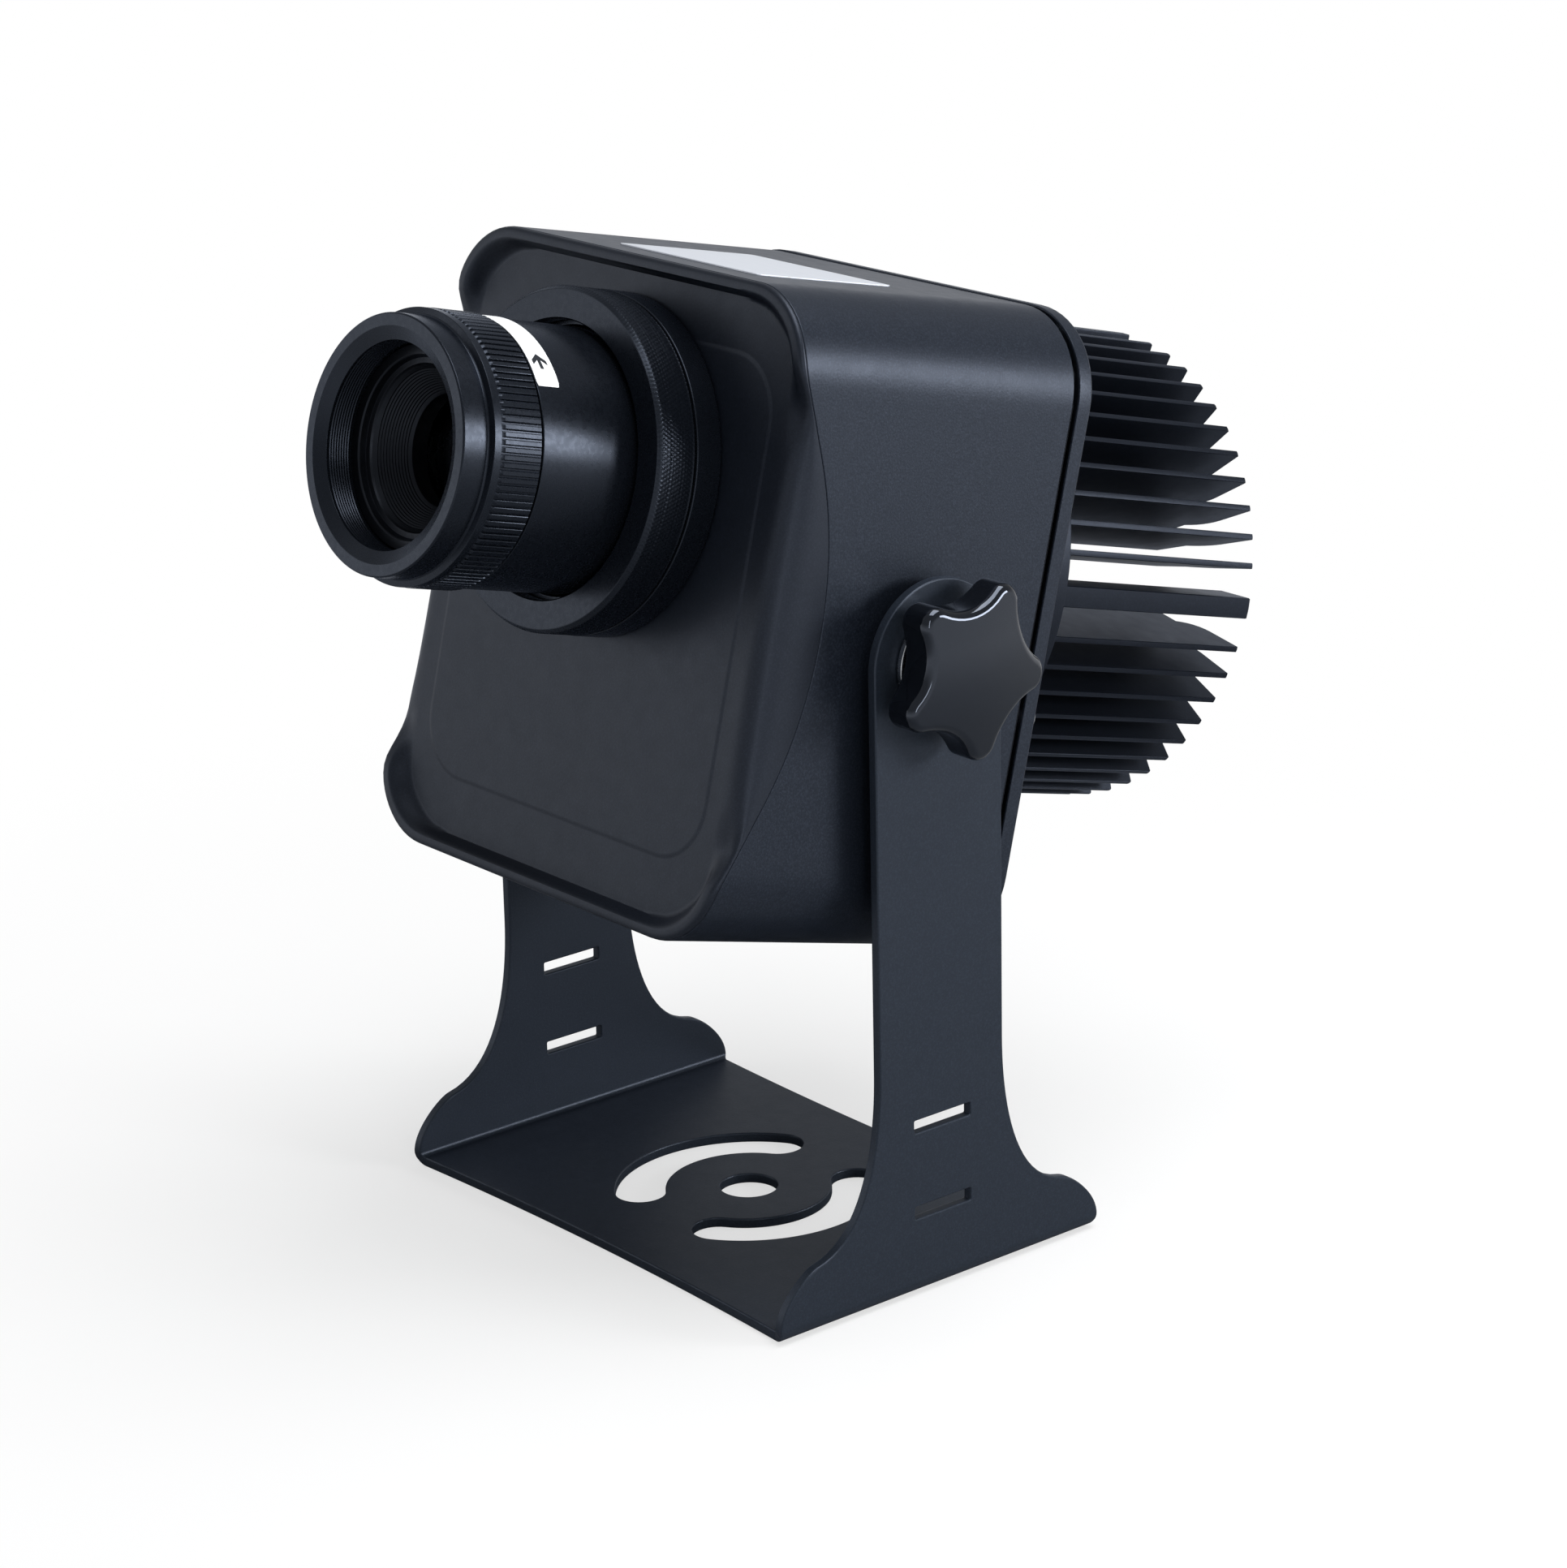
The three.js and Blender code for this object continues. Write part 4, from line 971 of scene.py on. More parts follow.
    def folded(self, point: Vector) -> Vector:
        """Folds a point of the flat pattern round the bend.

        Args:
            point: (along, depth, through), with through from 0 under the base to the sheet's thickness.

        Returns:
            The point in the row frame, in millimetres.
        """
        side = math.copysign(1.0, point.x)
        along, through = abs(point.x), point.z
        start, length, outer = self.bend_start(), self.bend_length(), self.bend + self.sheet
        if along <= start:
            return Vector((point.x, point.y, through))
        if along <= start + length:
            angle = (along - start) / length * QUARTER
            radius = outer - through
            reach = start + radius * math.sin(angle)
            return Vector((side * reach, point.y, outer - radius * math.cos(angle)))
        return Vector((side * (self.width / 2 - through), point.y, outer + along - start - length))

    def build(self, shop: Workshop) -> None:
        """Cuts, rounds and folds the sheet.

        Args:
            shop: the workshop that finishes the piece.
        """
        flat = bmesh.new()
        rims = [self.rim(flat, self.outline(), False)]
        rims += [self.rim(flat, ring, True) for ring in self.holes()]
        for rings in zip(*rims):
            edges = [flat.edges.get((ring[i - 1], ring[i])) for ring in rings for i in range(len(ring))]
            bmesh.ops.triangle_fill(flat, use_beauty=True, use_dissolve=False, edges=edges, normal=(0, 0, 1))
        for side in (1, -1):
            for t in arc_steps(self.bend_steps):
                cut = side * (self.bend_start() + t * self.bend_length())
                bmesh.ops.bisect_plane(flat, geom=list(flat.verts) + list(flat.edges) + list(flat.faces),
                                       dist=1e-4, plane_co=(cut, 0, 0), plane_no=(1, 0, 0))
        bmesh.ops.triangulate(flat, faces=[f for f in flat.faces if len(f.verts) > 4])
        for vert in flat.verts:
            vert.co = self.folded(vert.co)
        bmesh.ops.recalc_face_normals(flat, faces=flat.faces)
        shop.make(Piece("bracket_sheet", SHEET_COAT, Body.BRACKET, ("u_bracket",), "powder_coat",
                        Place.FLOOR, 30.0), flat)


# Housing


@dataclass
class Housing:
    """Head shell, front bezel and rear cover.

    The front panel carries the raised rim, drops to the recessed face inside it, and rolls over on both
    flanks to the shell's scooped side edges.
    """

    front: float = 46.5
    rear: float = -33.6
    half: float = 62.0
    top: float = 75.0
    bottom: float = -69.3
    corner: float = 19.0
    draft: float = 1.2
    wall: float = 3.0
    edge: float = 0.25
    scoop_radius: float = 93.0
    scoop_station: float = 28.4
    scoop_lift: float = 2.6
    scoop_blend: float = 1.5
    flank_run: float = 18.0
    seam: float = 0.12
    face: float = 42.5
    roll: float = 7.5
    roll_power: float = 3.2
    rim_depth: float = 1.4
    rim_round: float = 1.1
    rim_width: float = 2.4
    step_width: float = 1.7
    corner_step: float = 4.6
    hole: float = 33.8
    pad: tuple[float, float, float, float] = (50.5, 59.0, -52.0, 14.0)
    pad_rise: float = 0.22
    corner_steps: int = 14
    side_parts: int = 44
    cover_front: float = -35.2
    cover_depth: float = 5.3
    cover_proud: float = 0.4
    cover_bevel: float = 1.6
    screw_lift: float = 0.3
    skin_shares: tuple[float, ...] = (0.0, 0.02, 0.25, 0.5, 0.75, 0.95, 1.0)
    corner_from: Pair = (36.0, 56.0)
    back_gap: float = 0.4
    hem: float = 0.8
    pad_gap: float = 2.5
    cover_hole: float = 21.6
    cover_sheet: float = 3.0
    cover_inside: float = 0.94
    screw_spots: tuple[Pair, ...] = ((48, 71), (57, -14), (48, -64.5), (-48, 71), (-57, -14), (-48, -64.5))

    def __post_init__(self) -> None:
        """Lays out the skin's outlines at both ends and the direction into the wall at each point."""
        self.at_front = [Vector(p) for p in self.outline(self.half, self.top, self.bottom, self.corner)]
        self.at_rear = [Vector(p) for p in self.outline(self.half + self.draft, self.top + 2 * self.draft,
                                                        self.bottom - self.draft, self.corner + self.draft)]
        inner = self.outline(self.half - self.wall, self.top - self.wall, self.bottom + self.wall,
                             self.corner - self.wall)
        self.inward = [(Vector(p) - q).normalized() for p, q in zip(inner, self.at_front)]

    def outline(self, half: float, top: float, bottom: float, corner: float) -> list[Pair]:
        """Returns a rounded outline with this housing's fineness."""
        return rounded_outline(half, top, bottom, corner, self.corner_steps, self.side_parts)

    def skin(self, i: int, station: float, inset: float) -> Vector:
        """Returns a point of the outer skin at a station, moved into the wall by an inset."""
        share = (station - self.rear) / (self.front - self.rear)
        x, height = self.at_rear[i].lerp(self.at_front[i], share) + self.inward[i] * inset
        return Vector((x, -station, height))

    def lip(self, height: float) -> float:
        """Returns the station of the head's front edge at a height, lower where the sides are scooped."""
        rise = min(abs(height - self.scoop_lift), self.scoop_radius)
        arc = self.scoop_station + self.scoop_radius - math.sqrt(self.scoop_radius ** 2 - rise ** 2)
        return self.front - self.scoop_blend * math.log1p(math.exp((self.front - arc) / self.scoop_blend))

    def flank(self, height: float) -> float:
        """Returns 1 where the panel rolls over the side and 0 where it carries the rim."""
        half = math.sqrt(self.scoop_radius ** 2 - (self.scoop_radius + self.scoop_station - self.front) ** 2)
        return smooth(half + 2.0 - abs(height - self.scoop_lift), 0.0, self.flank_run)

    def shell_lip(self, i: int) -> float:
        """Returns the station of the shell's own edge, behind the panel's rim."""
        height = self.at_front[i].y
        return self.lip(height) - self.rim_depth * (1 - self.flank(height))

    def shell(self) -> Shape:
        """Returns the shell as a skin that runs out, over the lip, and back inside."""
        count, edge = len(self.at_front), self.edge
        rows = []
        for t in self.skin_shares:
            rows.append([self.skin(i, self.rear + (self.shell_lip(i) - edge - self.rear) * t, 0.0)
                         for i in range(count)])
        for angle in (t * QUARTER for t in arc_steps(4)[1:]):
            back, inset = edge * (1 - math.sin(angle)), edge * (1 - math.cos(angle))
            rows.append([self.skin(i, self.shell_lip(i) - back, inset) for i in range(count)])
        rows.append([self.skin(i, self.shell_lip(i), self.wall) for i in range(count)])
        rows.append([self.skin(i, self.rear, self.wall) for i in range(count)])
        return grid_mesh(rows, True)

    def front_station(self, i: int, inset: float) -> float:
        """Returns the station of the panel's surface at an inset from its outline.

        Args:
            i: the outline point.
            inset: distance from the panel's edge towards its middle.
        """
        x, height = self.at_front[i]
        lip, flank = self.lip(height), self.flank(height)
        t = max(0.0, 1 - inset / self.roll)
        curve = (1 - t ** self.roll_power) ** (1 / self.roll_power)
        rolled = self.face - (self.face - lip - self.seam) * (1 - curve)
        short = max(0.0, self.rim_round - inset)
        rounding = self.rim_round - math.sqrt(self.rim_round ** 2 - short * short)
        width = self.step_width + (self.corner_step - self.step_width) * smooth(abs(x), *self.corner_from)
        fall = smooth(inset, self.rim_width, self.rim_width + width)
        rimmed = lip - rounding - (lip - self.face) * fall
        return rimmed + (rolled - rimmed) * flank

    def lens_ring(self, follow: Sequence[Vector], radius: float, station: float) -> list[Vector]:
        """Returns a circle about the lens axis.

        Args:
            follow: the row whose points the circle's points lie in line with.
            radius: the circle's radius.
            station: the circle's place along the axis.

        Returns:
            As many points as the row has.
        """
        ring = []
        for point in follow:
            away = Vector((point.x, point.z - LENS_LIFT)).normalized() * radius
            ring.append(Vector((away.x, -station, LENS_LIFT + away.y)))
        return ring

    def bezel(self) -> Shape:
        """Returns the panel with its rim, rolled flanks, pad and lens hole."""
        count = len(self.at_front)
        insets = [self.roll * (k / 12) ** 4 for k in range(9)]
        insets += [insets[-1] + (self.roll * 1.1 - insets[-1]) * t for t in arc_steps(16)[1:]]
        rows = [[self.skin(i, self.face - self.wall, self.wall + self.back_gap) for i in range(count)]]
        for inset in (self.wall - self.hem, 0.0):
            rows.append([self.skin(i, self.shell_lip(i) + self.seam, self.seam + inset)
                         for i in range(count)])
        for inset in insets:
            rows.append([self.skin(i, self.front_station(i, inset), self.seam + inset) for i in range(count)])
        half, top, bottom, corner = self.pad
        for grow, rise in ((0.8, 0.0), (0.4, 0.04), (0.0, self.pad_rise * 0.6), (-0.6, self.pad_rise)):
            row = []
            for x, height in self.outline(half + grow, top + grow, bottom - grow, corner + grow):
                away = Vector((x, height - LENS_LIFT))
                away *= max(1.0, (self.hole + self.pad_gap + grow) / away.length)
                row.append(Vector((away.x, -(self.face + rise), LENS_LIFT + away.y)))
            rows.append(row)
        pad = rows[-1]
        rows.append(self.lens_ring(pad, self.hole, self.face + self.pad_rise))
        rows.append(self.lens_ring(pad, self.hole, self.face - self.wall))
        return grid_mesh(rows, True)

    def cover(self) -> Shape:
        """Returns the rear cover with its two-tone bevelled rim."""
        rear = self.cover_front - self.cover_depth
        inner = rear + self.cover_sheet
        out = self.draft + self.cover_proud
        land = self.cover_depth - self.cover_bevel
        steps = [(0.45, 0.0), (0.1, 0.08), (0.0, 0.4), (0.0, land - 0.25), (0.08, land + 0.02),
                 (self.cover_bevel - 0.25, self.cover_depth - 0.25),
                 (self.cover_bevel - 0.05, self.cover_depth - 0.06),
                 (self.cover_bevel + 0.3, self.cover_depth)]
        rows = []
        for inset, back in steps:
            grow = out - inset
            outline = self.outline(self.half + grow, self.top + grow + self.draft, self.bottom - grow,
                                   self.corner + grow)
            rows.append([Vector((x, -(self.cover_front - back), height)) for x, height in outline])
        rim = rows[-1]
        rows.append(self.lens_ring(rim, self.cover_hole, rear))
        rows.append(self.lens_ring(rim, self.cover_hole, inner))
        rows.append([Vector((p.x * self.cover_inside, -inner, p.z * self.cover_inside)) for p in rows[0]])
        return grid_mesh(rows, True)

    def build(self, shop: Workshop) -> None:
        """Makes the shell, the bezel and the cover, and dresses the gasket.

        Args:
            shop: the workshop that finishes the pieces.
        """
        shop.make(Piece("head_shell", HOUSING_COAT, Body.HEAD, ("housing_shell",), "powder_coat"),
                  self.shell())
        shop.make(Piece("front_panel", BEZEL_COAT, Body.HEAD, ("front_bezel",), "powder_coat"),
                  self.bezel())
        shop.make(Piece("rear_plate", HOUSING_COAT, Body.HEAD, ("rear_cover",), "powder_coat", crease=30.0),
                  self.cover())
        shop.dress(RUBBER, "rear_gasket")
        self.screws(shop)

    def screws(self, shop: Workshop) -> None:
        """Makes the pan head screws of the rear cover.

        Args:
            shop: the workshop that finishes the piece.
        """
        bearing = self.cover_front - self.cover_depth - self.screw_lift
        template = shop.rough("pan_head", Screw().shape())
        spots = [Vector((x, -bearing, height)) for x, height in self.screw_spots]
        host = SpotRepeat(spots).host("cover_screws", template, PLATED_STEEL, shop)
        nodes = tuple(f"cover_screw_{i}" for i in range(1, 7))
        shop.finish(Piece("cover_screws", PLATED_STEEL, Body.HEAD, nodes, "steel", crease=30.0), host)


@dataclass
class Screw:
    """Pan head screw with a cross recess, its head bearing at nought and rising towards +Y."""

    head: float = 3.6
    height: float = 2.4
    shank: float = 2.0
    length: float = 12.0
    taper: float = 0.6
    point: float = 1.0
    rim: float = 0.35
    recess: float = 2.0
    recess_top: float = 0.97
    recess_depth: float = 0.5
    recess_taper: float = 0.25
    arm: float = 0.45
    sides: int = 32

    def shape(self) -> Shape:
        """Returns the screw with a domed head and a sunk cross."""
        rows: list[list[Vector]] = [[Vector((0, -self.length, 0))]]

        def ring(radius: float, lift: float) -> None:
            """Adds one ring of the screw."""
            rows.append(hoop(radius, -lift, self.sides))

        ring(self.shank * self.taper, -self.length)
        ring(self.shank, -self.length + self.point)
        ring(self.shank, 0.0)
        ring(self.head - 0.1, 0.0)
        ring(self.head, 0.12)
        ring(self.head, self.height * self.rim)
        for t in (0.3, 0.55, 0.75):
            angle = t * QUARTER
            ring(self.head * math.cos(angle * 0.75),
                 self.height * (self.rim + (1 - self.rim) * math.sin(angle)))
        for depth in (0.0, 0.05, 0.9, 1.0):
            cross = []
            for i in range(self.sides):
                angle = i * TURN / self.sides
                spoke = abs(math.remainder(angle, QUARTER))
                reach = min(self.recess, self.arm / max(math.sin(spoke), 0.05))
                cross.append(around(reach * (1 - self.recess_taper * depth), angle,
                                    -self.height * (self.recess_top - self.recess_depth * depth)))
            rows.append(cross)
        rows.append([Vector((0, self.height * 0.4, 0))])
        return grid_mesh(rows, False)


# Lens


@dataclass
class Lens:
    """Everything on the lens axis that shows: base ring, lock ring, barrel, focus ring, baffle and glass."""

    base_bore: float = 29.8
    base_rear: float = 36.0
    base_radius: float = 38.4
    base_front: float = 50.0
    neck_radius: float = 33.4
    ring_seat: float = 43.2
    spigot_radius: float = 34.0
    spigot_front: float = 56.0
    lock_inner: float = 34.3
    lock_radius: float = 38.3
    lock_rear: float = 50.3
    lock_front: float = 60.6
    lock_bore: float = 30.9
    lock_web: float = 3.4
    lock_chamfer: float = 1.0
    knurl_pitch: float = 1.0
    knurl_depth: float = 0.16
    knurl_slant: float = 0.6
    barrel_radius: float = 29.5
    barrel_rear: float = 37.0
    barrel_front: float = 93.0
    barrel_bore: float = 26.0
    seat_bore: float = 23.0
    seat_front: float = 43.0
    shoulder: float = 85.0
    spout_radius: float = 28.0
    grip_bore: float = 28.3
    grip_radius: float = 30.1
    grip_ridges: int = 116
    ridge_ends: Pair = (85.75, 96.35)
    flange: tuple[float, float, float] = (30.0, 96.5, 98.4)
    hood_radius: float = 28.3
    hood_front: float = 105.3
    hood_mouth: float = 25.5
    hood_bore: float = 22.5
    hood_thread: tuple[float, float, float, int] = (0.22, 0.34, 103.3, 18)
    web_rear: float = 94.2
    baffle_radius: float = 22.2
    baffle_ends: Pair = (84.0, 97.2)
    cone_mouth: Pair = (17.5, 94.0)
    cone_throat: Pair = (12.9, 88.6)
    cone_turns: int = 11
    cone_thread: float = 0.22
    glass_radius: float = 22.2
    glass_ends: Pair = (77.8, 80.8)
    dome_radius: float = 19.2
    dome_height: float = 4.0

    def base_ring(self) -> Shape:
        """Returns the plain collar on the front panel."""
        profile = [(self.base_bore, self.base_rear), (self.neck_radius, self.base_rear),
                   (self.neck_radius, self.ring_seat), (self.base_radius, self.ring_seat),
                   (self.base_radius, self.base_front), (self.spigot_radius, self.base_front),
                   (self.spigot_radius, self.spigot_front), (self.base_bore, self.spigot_front)]
        return turned(profile, 180, 0.35)

    def lock_ring(self) -> Shape:
        """Returns the lock ring, with a diamond knurl pressed into its rim and its front chamfer."""
        sides = round(TURN * self.lock_radius / self.knurl_pitch) * 4
        radius, rear, front = self.lock_radius, self.lock_rear, self.lock_front
        chamfer = self.lock_chamfer
        rows: list[list[Vector]] = []

        def ring(r: float, station: float, knurl: float) -> None:
            """Adds one ring, its radius cut by the crossing grooves."""
            row = []
            for i in range(sides):
                angle = i * TURN / sides
                run = station / self.knurl_pitch * math.pi
                lines = sides / 8 * angle
                cut = min(abs(math.sin(lines + run * self.knurl_slant)),
                          abs(math.sin(lines - run * self.knurl_slant)))
                depth = knurl * self.knurl_depth * (1 - min(1.0, cut * 1.6)) * 1.4
                row.append(around(r - depth, angle, station))
            rows.append(row)

        inner = self.lock_inner
        ring(inner, rear, 0)
        ring(radius - 0.7, rear, 0)
        ring(radius - 0.25, rear + 0.1, 0)
        ring(radius, rear + 0.5, 0)
        parts = 28
        for k in range(parts + 1):
            ring(radius, rear + 0.75 + (front - chamfer - rear - 0.85) * k / parts, 1)
        for k in range(5):
            t = k / 4
            ring(radius - chamfer * 0.85 * t, front - chamfer * (1 - t) - 0.06, 0.8 * (1 - t))
        ring(radius - chamfer - 0.1, front, 0)
        ring(self.lock_bore + 0.3, front, 0)
        ring(self.lock_bore, front - 0.3, 0)
        ring(self.lock_bore, front - self.lock_web, 0)
        ring(inner, front - self.lock_web, 0)
        return grid_mesh(rows, True)

    def barrel(self) -> Shape:
        """Returns the plain tube that slides in the base ring."""
        profile = [(self.seat_bore, self.barrel_rear), (self.barrel_radius, self.barrel_rear),
                   (self.barrel_radius, self.shoulder), (self.spout_radius, self.shoulder),
                   (self.spout_radius, self.barrel_front), (self.barrel_bore, self.barrel_front),
                   (self.barrel_bore, self.seat_front), (self.seat_bore, self.seat_front)]
        return turned(profile, 180, 0.25)

    def grip(self) -> Shape:
        """Returns the focus ring's body, turned down under the ridges, with its hood."""
        root = self.grip_radius - 0.55
        bore = self.hood_bore
        depth, pitch, start, crests = self.hood_thread
        thread = [(bore + (depth if k % 2 else 0.0), start - k * pitch) for k in range(crests)]
        flange, rear, front = self.flange
        profile = [(self.grip_bore, 85.35), (root - 0.3, 85.3), (root, 85.6), (root, rear - 0.2),
                   (flange, rear), (flange, front),
                   (self.hood_radius + 0.25, front + 0.35), (self.hood_radius, front + 0.7),
                   (self.hood_radius, self.hood_front - 0.3), (self.hood_radius - 0.3, self.hood_front),
                   (self.hood_mouth, self.hood_front), (bore, self.hood_front - 1.5), *thread,
                   (bore, self.web_rear + 0.3), (bore + 0.3, self.web_rear), (self.grip_bore, self.web_rear)]
        return turned(profile, 180, 0.1)

    def ridge(self) -> Shape:
        """Returns one ridge of the focus ring's straight knurl, at angle nought."""
        pitch = TURN * self.grip_radius / self.grip_ridges
        half_root, half_tip = pitch * 0.42, pitch * 0.3
        rear, front = self.ridge_ends
        root, tip = self.grip_radius - 0.65, self.grip_radius
        shape = bmesh.new()
        section = [(root, -half_root), (tip - 0.08, -half_tip - 0.04), (tip, -half_tip + 0.08),
                   (tip, half_tip - 0.08), (tip - 0.08, half_tip + 0.04), (root, half_root)]
        rows = []
        for station, sink in ((rear, 0.35), (rear + 0.3, 0.0), (front - 0.75, 0.0), (front, 0.5)):
            rows.append([shape.verts.new((max(root - 0.05, r - sink if r > root else r), -station, z))
                         for r, z in section])
        for low, high in zip(rows, rows[1:]):
            for i in range(len(section)):
                j = (i + 1) % len(section)
                shape.faces.new((low[i], low[j], high[j], high[i]))
        shape.faces.new(rows[0][::-1])
        shape.faces.new(rows[-1])
        bmesh.ops.recalc_face_normals(shape, faces=shape.faces)
        return shape

    def baffle(self) -> Shape:
        """Returns the stepped and threaded cone in front of the glass."""
        mouth, throat = Vector(self.cone_mouth), Vector(self.cone_throat)
        cone = []
        for k in range(self.cone_turns * 2 + 1):
            radius, station = mouth.lerp(throat, k / (self.cone_turns * 2))
            cone.append((radius - (0.0 if k % 2 else self.cone_thread), station))
        rear, front = self.baffle_ends
        profile = [(self.baffle_radius, rear), (self.baffle_radius, front), (20.1, front),
                   (19.8, front - 0.3), (19.5, 95.4), (18.3, 95.3), (18.0, 94.8), *cone, (12.3, 88.3),
                   (12.3, rear + 0.3), (13.9, rear)]
        return turned(profile, 144, 0.06)

    def glass(self) -> Shape:
        """Returns the front element, domed towards the front."""
        rear, edge = self.glass_ends
        dome = [(self.dome_radius * (1 - t), edge + self.dome_height * math.sin(t * QUARTER))
                for t in arc_steps(16)]
        profile = [(0.0, rear), (self.glass_radius, rear), (self.glass_radius, edge), *dome]
        return turned(profile, 96, 0.0, False)

    def build(self, shop: Workshop) -> None:
        """Makes the visible lens pieces.

        Args:
            shop: the workshop that finishes the pieces.
        """
        for name, body, node, shape in (
            ("lens_collar", Body.HEAD, "lens_base_ring", self.base_ring()),
            ("lens_lock_ring", Body.LOCK, "lock_ring", self.lock_ring()),
            ("lens_tube_barrel", Body.TUBE, "lens_barrel", self.barrel()),
        ):
            shop.make(Piece(name, LENS_BLACK, body, (node,), "anodised", Place.LENS), shape)
        self.focus_grip(shop)
        shop.make(Piece("lens_mouth_baffle", INNER_BLACK, Body.GROUP, ("lens_baffle",), "anodised",
                        Place.LENS), self.baffle())
        shop.make(Piece("front_glass", LENS_GLASS, Body.GROUP, ("front_lens",), "glass", Place.LENS),
                  self.glass())
        ArrowLabel().build(shop)

    def focus_grip(self, shop: Workshop) -> None:
        """Makes the focus ring: the turned body with its ridges set round it.

        Args:
            shop: the workshop that finishes the piece.
        """
        ridges = shop.rough("ridges", self.ridge())
        repeat = RoundRepeat(self.grip_ridges, self.grip_ridges, 0.0, 0.0, TURN / self.grip_ridges)
        repeat.apply(ridges, LENS_BLACK)
        knurl = shop.taken(ridges)
        shop.make(Piece("focus_ring_grip", LENS_BLACK, Body.GRIP, ("focus_ring",), "anodised",
                        Place.LENS, 30.0), merged(self.grip(), knurl))


@dataclass
class ArrowLabel:
    """White film wrapped over the barrel, with a plain arrow printed on it."""

    radius: float = 29.62
    thickness: float = 0.12
    rear: float = 78.9
    front: float = 84.9
    corner: float = 0.3
    columns: int = 40
    start: float = math.radians(38.0)
    span: float = math.radians(80.0)
    arrow_angle: float = math.radians(50.6)
    arrow_station: float = 82.0
    ink: float = 0.03

    def wrapped(self, run: float, station: float, lift: float) -> Vector:
        """Returns a point wrapped on the barrel, run being its angle."""
        return around(self.radius + lift, run, station)

    def film(self) -> Shape:
        """Returns the film as a thin closed patch with small corner radii."""
        left, right = self.start * self.radius, (self.start + self.span) * self.radius
        rows = []
        for t in arc_steps(self.columns):
            run = left + (right - left) * t
            short = self.corner - min(self.corner, run - left, right - run)
            cut = self.corner - math.sqrt(max(0.0, self.corner ** 2 - short ** 2))
            low, high = self.rear + cut, self.front - cut
            rows.append([self.wrapped(run / self.radius, station, lift) for station, lift in
                         ((low, 0.0), (high, 0.0), (high, self.thickness), (low, self.thickness))])
        return capped(grid_mesh(rows, False))

    def arrow(self) -> Shape:
        """Returns the printed arrow: a shaft and two swept barbs, pointing round the barrel."""
        outline = [(-0.45, 2.1), (0.45, 2.1), (0.45, -0.3), (1.9, 1.05), (1.9, -0.25), (0.0, -2.1),
                   (-1.9, -0.25), (-1.9, 1.05), (-0.45, -0.3)]
        shape = bmesh.new()
        lower, upper = [], []
        for across, along in outline:
            angle, station = self.arrow_angle - along / self.radius, self.arrow_station + across
            for ring, lift in ((lower, self.thickness * 0.5), (upper, self.thickness + self.ink)):
                ring.append(shape.verts.new(self.wrapped(angle, station, lift)))
        shape.faces.new(upper)
        shape.faces.new(lower[::-1])
        for i in range(len(outline)):
            j = (i + 1) % len(outline)
            shape.faces.new((lower[i], lower[j], upper[j], upper[i]))
        bmesh.ops.triangulate(shape, faces=[f for f in shape.faces if len(f.verts) > 4])
        bmesh.ops.recalc_face_normals(shape, faces=shape.faces)
        return shape

    def build(self, shop: Workshop) -> None:
        """Makes the film and its printed arrow."""
        shop.make(Piece("barrel_label", LABEL_FILM, Body.TUBE, ("arrow_label",), "label", Place.LENS, 30.0),
                  self.film())
        shop.make(Piece("barrel_arrow", ARROW_INK, Body.TUBE, (), "label", Place.LENS, 30.0), self.arrow())


# Heat sink


